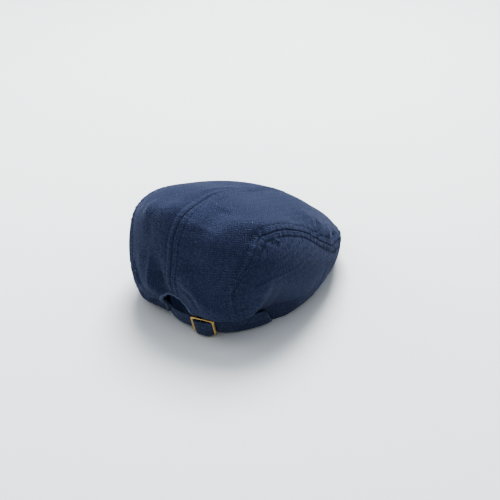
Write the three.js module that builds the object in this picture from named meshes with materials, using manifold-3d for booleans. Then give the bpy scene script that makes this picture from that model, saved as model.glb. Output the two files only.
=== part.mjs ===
// A soft flat cap: four cloth panels, a short stiff peak, a bound arch at the back and a buckled strap.
// Millimetres, +Z up. -Y is the front, where the peak is, and +X is the wearer's left.
import * as THREE from 'three';
import { mergeVertices } from 'three/addons/utils/BufferGeometryUtils.js';
import Module from 'manifold-3d';

const wasm = await Module();
wasm.setup();

// ---------- driving dimensions ----------

const WALL = 1.8; // cotton twill with its seam allowances
const GAP = 0.3; // clearance between neighbouring pieces
const STEPS_ROUND = 76; // facets round the crown
const STEPS_UP = 22; // facets from the hem to the top
const HEM_CROWDING = 1.2; // above 1, the facets are shorter near the hem

// The crown, a row for each ring from the hem (reach 1) to the top (reach 0).
// front and back are Y, widestY is where the ring is widest, and squareness 2 is an ellipse.
const RINGS = [
  { reach: 1.0, height: 0, front: -125, back: 107, halfWidth: 81.5, widestY: -6, squareness: 2.1 },
  { reach: 0.86, height: 17.5, front: -131, back: 125, halfWidth: 92, widestY: 6.5, squareness: 2.15 },
  { reach: 0.72, height: 36, front: -125, back: 131, halfWidth: 100, widestY: 20, squareness: 2.15 },
  { reach: 0.58, height: 60, front: -96, back: 128.5, halfWidth: 101.5, widestY: 34, squareness: 2.15 },
  { reach: 0.44, height: 88, front: -58, back: 122.5, halfWidth: 94, widestY: 48.5, squareness: 2.15 },
  { reach: 0.3, height: 109, front: -7, back: 119, halfWidth: 79, widestY: 62, squareness: 2.1 },
  { reach: 0.16, height: 126, front: 35, back: 105, halfWidth: 52, widestY: 71, squareness: 2.05 },
  { reach: 0, height: 132, front: 72.5, back: 72.5, halfWidth: 0, widestY: 72.5, squareness: 2 },
];

// The peak is a crescent, arched across and sloping down towards its front edge.
const PEAK = {
  cornerY: -48,
  halfWidth: 76,
  depth: 90,
  innerHalfWidth: 69,
  innerDepth: 34,
  thickness: 3,
  arch: 9,
  slope: 0.1,
  stepsAcross: 60,
  stepsDeep: 5,
};

// The hem climbs from the floor onto the peak between these places, and keeps its lift up to a reach.
const HEM_LIFT = { startY: -18, endY: -42, clearance: 1.2, fadesAtReach: 0.7 };

// Soft folds (height above zero) and dents (below zero), a row for each.
const FOLDS = [
  { at: 'ridge left of the centre seam', from: [42, 122, 74], via: [33, 128, 48], to: [16, 120, 40], width: 8, height: 4 },
  { at: 'valley beside the centre seam', from: [17, 128, 80], via: [14, 128, 62], to: [11, 124, 50], width: 7, height: -3 },
  { at: 'ridge right of the arch', from: [-20, 127, 66], via: [-30, 124, 44], to: [-62, 104, 36], width: 7, height: 3 },
  { at: 'valley right of the arch', from: [-18, 124, 48], via: [-26, 121, 36], to: [-36, 116, 28], width: 7, height: -3 },
  { at: 'hollow round the arch', from: [26, 112, 12], via: [3, 142, 66], to: [-22, 114, 14], width: 19, height: -13 },
  { at: 'flared left back corner', from: [36, 104, 8], via: [64, 106, 12], to: [82, 60, 14], width: 16, height: 8 },
  { at: 'right temple', from: [-66, -20, 88], via: [-78, -30, 78], to: [-86, -38, 68], width: 13, height: 2.5 },
];

// The side seam as seen from the side, a row for each place that it passes from the back hem to the front.
const SIDE_SEAM = [
  { y: 83, z: -8 },
  { y: 95, z: 14 },
  { y: 106, z: 38 },
  { y: 108, z: 62 },
  { y: 100, z: 87 },
  { y: 87, z: 105 },
  { y: 70, z: 114 },
  { y: 44, z: 111 },
  { y: 12, z: 95 },
  { y: -14, z: 73 },
  { y: -42, z: 53 },
  { y: -74, z: 42 },
  { y: -100, z: 28 },
  { y: -110, z: -8 },
];
const SEAM_STEPS = 30;
const SIDE_CUT = { fromX: 30, toX: 130 }; // the side panels lie wholly between these, left and right

// The arch-shaped opening in the middle of the back, and the round edge that binds it.
const ARCH = { middleX: 1, halfWidth: 22, shoulder: 20, top: 45, fromY: 70, toY: 150, steps: 20 };
const BINDING = { radius: 1.4, clearance: 0.4, sides: 8, steps: 30, footHeight: 3 };
const BACK_STEPS = 400; // places tried when the binding is laid on the back wall

// The strap draws the cloth behind it in, and collar above its top edge. Higher up the cloth spreads again by
// spread for each millimetre of height, and past the sewn end by easeOff for each millimetre of length.
const CINCH = {
  clearance: 1.9,
  collar: 4,
  spread: 2,
  easeOff: 0.9,
  softness: 1.2,
  releaseFromX: -14,
  releaseToX: -4,
};

// The strap, a row for each place on its lower edge. lift is its height, lean how far its top edge stands out.
const STRAP = { width: 20, thickness: 2.2, endSlant: 16, slantFades: 0.3, steps: 90 };
const STRAP_PATH = [
  { x: -74, y: 53, lift: 4, lean: 3 },
  { x: -69.5, y: 64, lift: 3.5, lean: 3 },
  { x: -60.5, y: 76.5, lift: 3, lean: 3 },
  { x: -50, y: 90, lift: 4, lean: 4 },
  { x: -37, y: 100.5, lift: 4.6, lean: 6 },
  { x: -20, y: 106, lift: 4.6, lean: 7 },
  { x: 0, y: 105, lift: 3.5, lean: 7 },
  { x: 15, y: 100, lift: 2, lean: 6 },
  { x: 30, y: 90, lift: 1.5, lean: 3 },
  { x: 44, y: 77, lift: 1.5, lean: 2 },
];

// The buckle is a rectangular frame with a centre bar. along is its place on the strap, from 0 to 1.
const BUCKLE = { along: 0.51, width: 25, bar: 2.4, clearance: 0.7, cornerRadius: 2.5 };

const CLOTH = { color: 0x2b3a5c, roughness: 0.95, metalness: 0 };
const BRASS = { color: 0xc9a24c, roughness: 0.3, metalness: 1 };

// ---------- curves ----------

/** A natural cubic curve y(x) through points whose x values rise. */
function naturalCurve(xs, ys) {
  const last = xs.length - 1;
  const bend = new Array(last + 1).fill(0);
  const factor = new Array(last + 1).fill(0);
  for (let i = 1; i < last; i += 1) {
    const before = xs[i] - xs[i - 1];
    const after = xs[i + 1] - xs[i];
    const slopeChange = (ys[i + 1] - ys[i]) / after - (ys[i] - ys[i - 1]) / before;
    const pivot = 2 * (before + after) - before * factor[i - 1];
    factor[i] = after / pivot;
    bend[i] = (6 * slopeChange - before * bend[i - 1]) / pivot;
  }
  for (let i = last - 1; i > 0; i -= 1) {
    bend[i] -= factor[i] * bend[i + 1];
  }
  return (x) => {
    let i = 0;
    while (i < last - 1 && x > xs[i + 1]) {
      i += 1;
    }
    const span = xs[i + 1] - xs[i];
    const a = (xs[i + 1] - x) / span;
    const b = 1 - a;
    const sag = ((a ** 3 - a) * bend[i] + (b ** 3 - b) * bend[i + 1]) * span * span / 6;
    return a * ys[i] + b * ys[i + 1] + sag;
  };
}

/** A column of RINGS as a curve over reach, mirrored through the top so that the crown closes smoothly. */
function ringCurve(valueOf, mirrorSign) {
  const outward = [...RINGS].reverse();
  const mirrored = RINGS.slice(0, -1);
  const xs = [...mirrored.map((ring) => -ring.reach), ...outward.map((ring) => ring.reach)];
  const ys = [...mirrored.map((ring) => mirrorSign * valueOf(ring)), ...outward.map(valueOf)];
  return naturalCurve(xs, ys);
}

const ringHeight = ringCurve((ring) => ring.height, 1);
const ringWidestY = ringCurve((ring) => ring.widestY, 1);
const ringSquareness = ringCurve((ring) => ring.squareness, 1);
const ringHalfWidth = ringCurve((ring) => ring.halfWidth, -1);
const ringForward = ringCurve((ring) => ring.widestY - ring.front, -1);
const ringRearward = ringCurve((ring) => ring.back - ring.widestY, -1);

/** Rises smoothly from 0 to 1 as t passes from 0 to 1. */
function easeStep(t) {
  const clamped = Math.min(1, Math.max(0, t));
  return clamped * clamped * (3 - 2 * clamped);
}

// ---------- the strap's route ----------

const strapRoute = new THREE.CatmullRomCurve3(
  STRAP_PATH.map((row) => new THREE.Vector3(row.x, row.y, row.lift)),
);
const strapLean = naturalCurve(
  STRAP_PATH.map((row, index) => index / (STRAP_PATH.length - 1)),
  STRAP_PATH.map((row) => row.lean),
);

/** The strap's lower edge and its directions at a share of its route: along it, up its face, and out of it. */
function strapStation(share) {
  const foot = strapRoute.getPoint(share);
  const along = strapRoute.getTangent(share).setZ(0).normalize();
  const outward = new THREE.Vector3(0, 0, 1).cross(along);
  const lean = strapLean(share);
  const tilt = lean / STRAP.width;
  const up = outward.clone().multiplyScalar(tilt).setZ(Math.sqrt(1 - tilt * tilt));
  const face = up.clone().cross(along);
  return { foot, along, outward, lean, up, face };
}

const strapStations = Array.from({ length: STRAP.steps + 1 }, (_, step) => strapStation(step / STRAP.steps));

// ---------- the crown's surface ----------

/** Height of the peak's upper face. */
function peakTop(x, y) {
  const across = 1 - (x / PEAK.halfWidth) ** 2;
  const frontY = PEAK.cornerY - PEAK.depth;
  return PEAK.thickness + (PEAK.arch + PEAK.slope * (y - frontY)) * Math.max(0, across);
}

/** How far the hem stands above the floor: zero at the sides and back, and just clear of the peak in front. */
function hemLift(x, y) {
  const onPeak = easeStep((HEM_LIFT.startY - y) / (HEM_LIFT.startY - HEM_LIFT.endY));
  return onPeak * (peakTop(x, y) + HEM_LIFT.clearance);
}

/** A point of the smooth crown. angle is seen from above, from +X towards the back. */
function smoothCrown(angle, reach) {
  const across = Math.cos(angle);
  const along = Math.sin(angle);
  const halfLength = along > 0 ? ringRearward(reach) : ringForward(reach);
  const power = ringSquareness(reach);
  const spread = (Math.abs(across) / ringHalfWidth(reach)) ** power + (Math.abs(along) / halfLength) ** power;
  const radius = spread ** (-1 / power);
  const x = radius * across;
  const y = ringWidestY(reach) + radius * along;
  const fade = easeStep((reach - HEM_LIFT.fadesAtReach) / (1 - HEM_LIFT.fadesAtReach));
  const lift = fade > 0 ? hemLift(x, y) * fade : 0;
  return new THREE.Vector3(x, y, ringHeight(reach) + lift);
}

/** The smooth crown's outward direction. */
function crownNormal(angle, reach) {
  const small = 0.004;
  const inner = Math.max(small, reach - small);
  const outer = Math.min(1, reach + small);
  const round = smoothCrown(angle + small, reach).sub(smoothCrown(angle - small, reach));
  const down = smoothCrown(angle, outer).sub(smoothCrown(angle, inner));
  return down.cross(round).normalize();
}

const foldRoutes = FOLDS.map((fold) => {
  const ends = [fold.from, fold.via, fold.to].map((place) => new THREE.Vector3(...place));
  return { ...fold, points: new THREE.QuadraticBezierCurve3(...ends).getPoints(10) };
});

/** How far the folds raise the cloth at a point. */
function foldHeight(point) {
  let height = 0;
  for (const fold of foldRoutes) {
    const distance = Math.min(...fold.points.map((place) => place.distanceTo(point)));
    height += fold.height * Math.exp(-((distance / fold.width) ** 2));
  }
  return height;
}

/** Where the cloth ends up once the strap has drawn it in. depth is how far inside the cloth the point lies. */
function cinched(point, depth) {
  const release = easeStep((CINCH.releaseToX - point.x) / (CINCH.releaseToX - CINCH.releaseFromX));
  if (release === 0 || point.y < 0) {
    return point;
  }
  let nearest = strapStations[0];
  let nearestDistance = Infinity;
  for (const station of strapStations) {
    const distance = Math.hypot(point.x - station.foot.x, point.y - station.foot.y);
    if (distance < nearestDistance) {
      nearest = station;
      nearestDistance = distance;
    }
  }
  const { foot, along, outward, lean } = nearest;
  const away = point.clone().sub(foot);
  const height = Math.max(0, Math.min(STRAP.width, away.z));
  const above = Math.max(0, away.z - STRAP.width - CINCH.collar);
  const past = nearest === strapStations[0] ? Math.max(0, -away.dot(along)) : 0;
  const room = STRAP.thickness / 2 + CINCH.clearance + depth;
  const limit = (lean * height) / STRAP.width - room + CINCH.spread * above + CINCH.easeOff * past;
  const excess = (away.dot(outward) - limit) / CINCH.softness;
  const pull = CINCH.softness * (excess > 20 ? excess : Math.log1p(Math.exp(excess)));
  return point.addScaledVector(outward, -pull * release);
}

/** A point of the crown's cloth, depth 0 on its outer face and WALL on its inner face. */
function crownPoint(angle, reach, depth) {
  const point = smoothCrown(angle, reach);
  const normal = crownNormal(angle, reach);
  if (reach > 0.999) {
    normal.setZ(0).normalize();
  }
  return cinched(point.addScaledVector(normal, foldHeight(point) - depth), depth);
}

/** The top of the crown, depth below its outer face. */
function crownTop(depth) {
  return new THREE.Vector3(0, ringWidestY(0), ringHeight(0) - depth);
}

// ---------- solids ----------

/** A geometry from points and index triples. */
function geometryFrom(points, triangles) {
  const geometry = new THREE.BufferGeometry();
  const coordinates = points.flatMap((point) => [point.x, point.y, point.z]);
  geometry.setAttribute('position', new THREE.Float32BufferAttribute(coordinates, 3));
  geometry.setIndex(triangles.flat());
  return geometry;
}

/** The geometry as a solid that can be cut. */
function solidOf(geometry) {
  const bare = geometry.clone();
  bare.deleteAttribute('normal');
  bare.deleteAttribute('uv');
  const merged = mergeVertices(bare);
  const vertProperties = new Float32Array(merged.attributes.position.array);
  const triVerts = new Uint32Array(merged.index.array);
  return new wasm.Manifold(new wasm.Mesh({ numProp: 3, vertProperties, triVerts }));
}

/** The solid as a geometry. */
function geometryOf(solid) {
  const mesh = solid.getMesh();
  const geometry = new THREE.BufferGeometry();
  geometry.setAttribute('position', new THREE.BufferAttribute(mesh.vertProperties, 3));
  geometry.setIndex(new THREE.BufferAttribute(mesh.triVerts, 1));
  geometry.computeVertexNormals();
  return geometry;
}

/** A named piece in one finish. */
function piece(name, geometry, finish) {
  const mesh = new THREE.Mesh(geometry, new THREE.MeshStandardMaterial(finish));
  mesh.name = name;
  return mesh;
}

/** The two triangles of a quad whose corners run anticlockwise as seen from outside. */
function quad(a, b, c, d) {
  return [[a, b, c], [a, c, d]];
}

/** The whole crown as one hollow shell, open below. */
function crownShell() {
  const points = [];
  for (const depth of [0, WALL]) {
    for (let up = 0; up < STEPS_UP; up += 1) {
      const reach = 1 - (up / STEPS_UP) ** HEM_CROWDING;
      for (let round = 0; round < STEPS_ROUND; round += 1) {
        points.push(crownPoint((2 * Math.PI * round) / STEPS_ROUND, reach, depth));
      }
    }
    points.push(crownTop(depth));
  }
  const faceSize = STEPS_UP * STEPS_ROUND + 1;
  const triangles = [];
  for (let round = 0; round < STEPS_ROUND; round += 1) {
    const next = (round + 1) % STEPS_ROUND;
    for (let up = 0; up < STEPS_UP - 1; up += 1) {
      const low = up * STEPS_ROUND;
      const high = low + STEPS_ROUND;
      triangles.push(...quad(low + round, low + next, high + next, high + round));
      const inLow = low + faceSize;
      const inHigh = high + faceSize;
      triangles.push(...quad(inLow + next, inLow + round, inHigh + round, inHigh + next));
    }
    const lastRing = (STEPS_UP - 1) * STEPS_ROUND;
    triangles.push([lastRing + round, lastRing + next, faceSize - 1]);
    triangles.push([faceSize + lastRing + next, faceSize + lastRing + round, 2 * faceSize - 1]);
    triangles.push(...quad(next, round, faceSize + round, faceSize + next));
  }
  return solidOf(geometryFrom(points, triangles));
}

/** Everything below the side seam on one side (1 left, -1 right), with its edge moved outward by margin. */
function belowSideSeam(side, margin) {
  const seam = new THREE.SplineCurve(SIDE_SEAM.map((row) => new THREE.Vector2(row.y, row.z)));
  const outline = [];
  for (let step = 0; step <= SEAM_STEPS; step += 1) {
    const place = seam.getPoint(step / SEAM_STEPS);
    const tangent = seam.getTangent(step / SEAM_STEPS);
    outline.push(new THREE.Vector2(place.x + tangent.y * margin, place.y - tangent.x * margin));
  }
  const block = new THREE.ExtrudeGeometry(new THREE.Shape(outline), {
    depth: SIDE_CUT.toX - SIDE_CUT.fromX,
    bevelEnabled: false,
    steps: 1,
  });
  const alongX = new THREE.Matrix4().makeBasis(
    new THREE.Vector3(0, 1, 0),
    new THREE.Vector3(0, 0, 1),
    new THREE.Vector3(1, 0, 0),
  );
  block.applyMatrix4(alongX);
  block.translate(side > 0 ? SIDE_CUT.fromX : -SIDE_CUT.toX, 0, 0);
  return solidOf(block);
}

/** Half width and top of the arch, shrunk inward by inset, as points over x and z. */
function archOutline(inset, steps) {
  const outline = [];
  for (let step = 0; step <= steps; step += 1) {
    const turn = (Math.PI * step) / steps;
    const x = ARCH.middleX + (ARCH.halfWidth - inset) * Math.cos(turn);
    const z = ARCH.shoulder + (ARCH.top - ARCH.shoulder - inset) * Math.sin(turn);
    outline.push(new THREE.Vector2(x, z));
  }
  return outline;
}

/** The block that cuts the arch out of the back. */
function archCut() {
  const belowFloor = -5;
  const outline = archOutline(0, ARCH.steps);
  outline.unshift(new THREE.Vector2(ARCH.middleX + ARCH.halfWidth, belowFloor));
  outline.push(new THREE.Vector2(ARCH.middleX - ARCH.halfWidth, belowFloor));
  const block = new THREE.ExtrudeGeometry(new THREE.Shape(outline), {
    depth: ARCH.toY - ARCH.fromY,
    bevelEnabled: false,
    steps: 1,
  });
  const alongY = new THREE.Matrix4().makeBasis(
    new THREE.Vector3(1, 0, 0),
    new THREE.Vector3(0, 0, 1),
    new THREE.Vector3(0, -1, 0),
  );
  block.applyMatrix4(alongY);
  block.translate(0, ARCH.toY, 0);
  return solidOf(block);
}

/** The y of the middle of the back wall's cloth over a place x, z. */
function backWallY(x, z) {
  const reach = ringHeightReach(z);
  let best = 0;
  let nearest = Infinity;
  for (let step = 0; step <= BACK_STEPS; step += 1) {
    const angle = Math.PI / 4 + (Math.PI / 2) * (step / BACK_STEPS);
    const point = crownPoint(angle, reach, WALL / 2);
    const miss = Math.abs(point.x - x);
    if (miss < nearest) {
      nearest = miss;
      best = point.y;
    }
  }
  return best;
}

/** The reach at which the crown is z high at the back. */
function ringHeightReach(z) {
  let low = 0;
  let high = 1;
  for (let halving = 0; halving < 30; halving += 1) {
    const middle = (low + high) / 2;
    if (ringHeight(middle) > z) {
      low = middle;
    } else {
      high = middle;
    }
  }
  return (low + high) / 2;
}

/** The bound edge of the arch. */
function archBinding() {
  const inset = BINDING.radius + BINDING.clearance;
  const route = archOutline(inset, BINDING.steps / 2);
  const foot = BINDING.footHeight;
  route.unshift(new THREE.Vector2(ARCH.middleX + ARCH.halfWidth - inset, foot));
  route.push(new THREE.Vector2(ARCH.middleX + inset - ARCH.halfWidth, foot));
  const places = route.map((place) => new THREE.Vector3(place.x, backWallY(place.x, place.y), place.y));
  const section = new THREE.Shape();
  section.absarc(0, 0, BINDING.radius, 0, 2 * Math.PI);
  return new THREE.ExtrudeGeometry(section, {
    steps: BINDING.steps,
    curveSegments: BINDING.sides,
    bevelEnabled: false,
    extrudePath: new THREE.CatmullRomCurve3(places),
  });
}

/** The peak as one curved plate. */
function peakPlate() {
  const points = [];
  for (const top of [true, false]) {
    for (let across = 0; across <= PEAK.stepsAcross; across += 1) {
      const turn = (Math.PI * across) / PEAK.stepsAcross;
      for (let deep = 0; deep <= PEAK.stepsDeep; deep += 1) {
        const share = deep / PEAK.stepsDeep;
        const halfWidth = THREE.MathUtils.lerp(PEAK.innerHalfWidth, PEAK.halfWidth, share);
        const depth = THREE.MathUtils.lerp(PEAK.innerDepth, PEAK.depth, share);
        const x = halfWidth * Math.cos(turn);
        const y = PEAK.cornerY - depth * Math.sin(turn);
        points.push(new THREE.Vector3(x, y, peakTop(x, y) - (top ? 0 : PEAK.thickness)));
      }
    }
  }
  const row = PEAK.stepsDeep + 1;
  const faceSize = row * (PEAK.stepsAcross + 1);
  const triangles = [];
  for (let across = 0; across < PEAK.stepsAcross; across += 1) {
    for (let deep = 0; deep < PEAK.stepsDeep; deep += 1) {
      const near = across * row + deep;
      const far = near + row;
      triangles.push(...quad(near, far, far + 1, near + 1));
      triangles.push(...quad(faceSize + far, faceSize + near, faceSize + near + 1, faceSize + far + 1));
    }
    const inner = across * row;
    const outer = inner + PEAK.stepsDeep;
    triangles.push(...quad(inner + row, inner, faceSize + inner, faceSize + inner + row));
    triangles.push(...quad(outer, outer + row, faceSize + outer + row, faceSize + outer));
  }
  for (let deep = 0; deep < PEAK.stepsDeep; deep += 1) {
    const last = PEAK.stepsAcross * row + deep;
    triangles.push(...quad(deep, deep + 1, faceSize + deep + 1, faceSize + deep));
    triangles.push(...quad(last + 1, last, faceSize + last, faceSize + last + 1));
  }
  return geometryFrom(points, triangles);
}

// The buckle stands clear of the strap, which passes over its centre bar.
const buckleStation = strapStation(BUCKLE.along);
const buckleHeight = STRAP.width + 2 * (BUCKLE.bar + BUCKLE.clearance);
const framePlane = STRAP.thickness / 2 + BUCKLE.clearance + BUCKLE.bar / 2;
const strapOverBar = 2 * framePlane;

/** How far the strap stands out where it passes over the buckle's centre bar. */
function strapBulge(foot) {
  const distance = foot.distanceTo(buckleStation.foot);
  const reach = BUCKLE.width / 2 - BUCKLE.bar;
  if (distance >= reach) {
    return 0;
  }
  return strapOverBar * Math.cos((Math.PI * distance) / (2 * reach)) ** 2;
}

/** The strap as one band of cloth. */
function strapBand() {
  const points = [];
  const slant = STRAP.endSlant / strapRoute.getLength();
  for (let step = 0; step <= STRAP.steps; step += 1) {
    const share = step / STRAP.steps;
    const low = strapStation(share);
    const high = strapStation(share + slant * Math.max(0, 1 - share / STRAP.slantFades) ** 2);
    const lowEdge = low.foot.clone().addScaledVector(low.face, strapBulge(low.foot));
    const highEdge = high.foot.clone().addScaledVector(high.face, strapBulge(high.foot));
    highEdge.addScaledVector(high.up, STRAP.width);
    const half = STRAP.thickness / 2;
    points.push(lowEdge.clone().addScaledVector(low.face, half).setZ(lowEdge.z));
    points.push(highEdge.clone().addScaledVector(high.face, half));
    points.push(highEdge.clone().addScaledVector(high.face, -half));
    points.push(lowEdge.clone().addScaledVector(low.face, -half).setZ(lowEdge.z));
  }
  const triangles = [];
  for (let step = 0; step < STRAP.steps; step += 1) {
    for (let side = 0; side < 4; side += 1) {
      const here = step * 4;
      const nextSide = (side + 1) % 4;
      triangles.push(...quad(here + side, here + nextSide, here + 4 + nextSide, here + 4 + side));
    }
  }
  const end = STRAP.steps * 4;
  triangles.push(...quad(3, 2, 1, 0));
  triangles.push(...quad(end, end + 1, end + 2, end + 3));
  return geometryFrom(points, triangles);
}

/** A rectangle with round corners about a middle. */
function roundedRectangle(outline, middleX, halfWidth, halfHeight, radius) {
  const left = middleX - halfWidth;
  const right = middleX + halfWidth;
  outline.moveTo(left + radius, -halfHeight);
  outline.absarc(right - radius, radius - halfHeight, radius, -Math.PI / 2, 0);
  outline.absarc(right - radius, halfHeight - radius, radius, 0, Math.PI / 2);
  outline.absarc(left + radius, halfHeight - radius, radius, Math.PI / 2, Math.PI);
  outline.absarc(left + radius, radius - halfHeight, radius, Math.PI, 1.5 * Math.PI);
  outline.closePath();
  return outline;
}

/** The buckle: a frame with two windows, one each side of its centre bar. */
function buckleFrame() {
  const halfWidth = BUCKLE.width / 2;
  const halfHeight = buckleHeight / 2;
  const frame = roundedRectangle(new THREE.Shape(), 0, halfWidth, halfHeight, BUCKLE.cornerRadius);
  const windowHalfWidth = (halfWidth - 1.5 * BUCKLE.bar) / 2;
  const windowMiddle = BUCKLE.bar / 2 + windowHalfWidth;
  const windowHalfHeight = halfHeight - BUCKLE.bar;
  for (const side of [-1, 1]) {
    const middle = side * windowMiddle;
    const window = roundedRectangle(new THREE.Path(), middle, windowHalfWidth, windowHalfHeight, 1);
    frame.holes.push(window);
  }
  const geometry = new THREE.ExtrudeGeometry(frame, {
    depth: BUCKLE.bar,
    bevelEnabled: false,
    curveSegments: 4,
    steps: 1,
  });
  geometry.translate(0, 0, -BUCKLE.bar / 2);
  const { foot, along, up, face } = buckleStation;
  const middle = foot.clone().addScaledVector(up, STRAP.width / 2).addScaledVector(face, framePlane);
  const seat = new THREE.Matrix4().makeBasis(along.clone().negate(), up, face).setPosition(middle);
  return geometry.applyMatrix4(seat);
}

// ---------- the cap ----------

/** The block that holds one half of the cap (1 left, -1 right), clear of the middle by half a gap. */
function halfBlock(side) {
  const size = 400;
  const block = new THREE.BoxGeometry(size, size, size);
  block.translate(side * (size / 2 + GAP / 2), 0, 0);
  return solidOf(block);
}

const shell = crownShell();
const arch = archCut();
const cap = new THREE.Group();
for (const [name, side] of [['left', 1], ['right', -1]]) {
  const top = shell.subtract(arch).subtract(belowSideSeam(side, GAP)).intersect(halfBlock(side));
  const sidePanel = shell.intersect(belowSideSeam(side, 0));
  cap.add(piece(`crown_top_${name}`, geometryOf(top), CLOTH));
  cap.add(piece(`side_panel_${name}`, geometryOf(sidePanel), CLOTH));
}
cap.add(piece('peak', peakPlate(), CLOTH));
cap.add(piece('arch_binding', archBinding(), CLOTH));
cap.add(piece('strap', strapBand(), CLOTH));
cap.add(piece('buckle', buckleFrame(), BRASS));

// The origin is the middle of the cap's footprint.
const bounds = new THREE.Box3().setFromObject(cap);
const middle = bounds.getCenter(new THREE.Vector3());
cap.position.set(-middle.x, -middle.y, -bounds.min.z);

export default cap;
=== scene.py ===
"""A soft navy flat cap that lies on a pale floor, seen from behind and to its right.

The crown is one smooth form, and four cloth panels are cut from it along the centre seam and the side seams.
Each panel is a closed sheet of cloth with turned edges, seam relief, puckers and rows of topstitching. The
peak, the bound arch, the buckled strap and the brass buckle are made round it. All sizes are in metres.
"""

from __future__ import annotations

import logging
import math
from dataclasses import dataclass, field
from enum import Enum
from typing import Callable, Sequence, Union

import bpy
import numpy as np
from mathutils import Matrix, Vector
from mathutils.geometry import delaunay_2d_cdt

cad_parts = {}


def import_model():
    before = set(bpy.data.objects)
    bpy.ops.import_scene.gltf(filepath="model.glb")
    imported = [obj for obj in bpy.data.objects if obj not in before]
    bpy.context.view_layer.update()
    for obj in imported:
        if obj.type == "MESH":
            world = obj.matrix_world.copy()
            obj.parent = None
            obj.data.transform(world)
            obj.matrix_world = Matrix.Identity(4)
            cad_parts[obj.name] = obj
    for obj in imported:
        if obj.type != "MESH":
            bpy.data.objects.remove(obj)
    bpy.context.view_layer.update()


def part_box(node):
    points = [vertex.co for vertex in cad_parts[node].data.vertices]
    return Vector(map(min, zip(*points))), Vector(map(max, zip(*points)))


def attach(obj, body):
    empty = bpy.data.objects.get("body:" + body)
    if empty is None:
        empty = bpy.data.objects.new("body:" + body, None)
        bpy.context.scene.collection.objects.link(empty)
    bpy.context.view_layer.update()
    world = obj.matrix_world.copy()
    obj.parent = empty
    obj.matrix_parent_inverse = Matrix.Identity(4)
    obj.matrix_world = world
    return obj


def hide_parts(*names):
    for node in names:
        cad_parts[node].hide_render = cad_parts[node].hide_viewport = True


Array = np.ndarray
Flat = tuple[float, float]
Place = tuple[float, float, float]
Colour = tuple[float, float, float, float]
Map = Callable[[Array], Array]
Socket = bpy.types.NodeSocket
Value = Union[bpy.types.NodeSocket, Colour, Place, float, None]

LOG = logging.getLogger("flat_cap")
BODY = "root"

TURN = 2.0 * math.pi
TINY = 1e-12
CHUNK = 4000  # how many points are measured at a time
WHOLE = (0.0, 1.0)
FOLD_STEPS = 25
RIPPLE_RATES = (0.62, 0.81, 1.0, 1.27, 1.6)
RIPPLE_HEIGHT = 2.6
DIRECTION_STEP = 0.002  # how far to each side of a place on the disc a surface's direction is measured
LOOP_GAP = 0.35  # how near wanted points may come to a panel's edge, as a share of the spacing
GRID_GAP = 0.6  # how near the evenly spread points may come to the others
SAME_PLACE = 1e-7  # points nearer than this on the disc are one point


class Side(Enum):
    """One half of the cap, with the sign of its x."""

    LEFT = 1
    RIGHT = -1

    @property
    def label(self) -> str:
        """The word used in piece names."""
        return self.name.lower()


class Slot(Enum):
    """The record's material slots."""

    CLOTH = "cap_cloth"
    BRASS = "brass"


# ---------- small maths ----------


def ease_step(t: Array) -> Array:
    """Rises smoothly from 0 to 1 as t passes from 0 to 1."""
    clamped = np.clip(t, 0.0, 1.0)
    return clamped * clamped * (3.0 - 2.0 * clamped)


def bump(distance: Array, width: float) -> Array:
    """A bell of height 1 whose half width is about width."""
    return np.exp(-((distance / width) ** 2))


def unit(vectors: Array) -> Array:
    """The vectors at length 1."""
    return vectors / np.maximum(np.linalg.norm(vectors, axis=-1, keepdims=True), TINY)


def on_circle(turn: Array) -> Array:
    """Flat places round a circle of radius 1."""
    return np.column_stack([np.cos(turn), np.sin(turn)])


def full_turn(count: int) -> Array:
    """Even steps round a full turn, its end left out."""
    return np.linspace(0.0, TURN, count, endpoint=False)


def reach_of(disc: Array) -> Array:
    """How far each place on the disc lies from its middle."""
    return np.hypot(disc[:, 0], disc[:, 1])


def lengths_along(points: Array) -> Array:
    """The distance from the first point to each point of a line of points."""
    steps = np.linalg.norm(np.diff(points, axis=0), axis=1)
    return np.concatenate([[0.0], np.cumsum(steps)])


def evenly_spaced(points: Array, places: Array, spacing: float) -> Array:
    """Places at even steps along a line of points.

    Args:
        points: The line in space, one row for each point.
        places: The values to carry along with the points.
        spacing: About how far apart the new places are.

    Returns:
        The carried values at the new places, the ends included.
    """
    length = lengths_along(points)
    count = max(2, int(round(length[-1] / spacing)) + 1)
    wanted = np.linspace(0.0, length[-1], count)
    return np.column_stack([np.interp(wanted, length, column) for column in places.T])


def near_line(points: Array, line: Array) -> tuple[Array, Array]:
    """Finds the nearest place on a line for each point.

    Args:
        points: The points that are measured.
        line: The line's corners in order.

    Returns:
        The distance to the line, and how far along the line the nearest place is.
    """
    start, step = line[:-1], np.diff(line, axis=0)
    square = np.maximum((step**2).sum(1), TINY)
    size = np.sqrt(square)
    before = np.concatenate([[0.0], np.cumsum(size)[:-1]])
    distances, along = np.empty(len(points)), np.empty(len(points))
    for low in range(0, len(points), CHUNK):
        offset = points[low : low + CHUNK, None, :] - start[None]
        share = np.clip((offset * step).sum(2) / square, 0.0, 1.0)
        miss = ((offset - share[..., None] * step) ** 2).sum(2)
        best = miss.argmin(1)
        row = np.arange(len(best))
        distances[low : low + CHUNK] = np.sqrt(miss[row, best])
        along[low : low + CHUNK] = before[best] + share[row, best] * size[best]
    return distances, along


def ripple(along: Array, pitch: float, seed: int) -> Array:
    """An uneven wave along a seam.

    Args:
        along: Places along the seam.
        pitch: The mean distance between crests.
        seed: Which of the endless uneven waves this is.

    Returns:
        Values between about -1 and 1.
    """
    random = np.random.default_rng(seed)
    total = np.zeros_like(along)
    for factor in RIPPLE_RATES:
        phase = random.uniform(0.0, TURN)
        total += random.uniform(0.5, 1.0) * np.sin(TURN * factor * along / pitch + phase)
    return total / RIPPLE_HEIGHT


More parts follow.
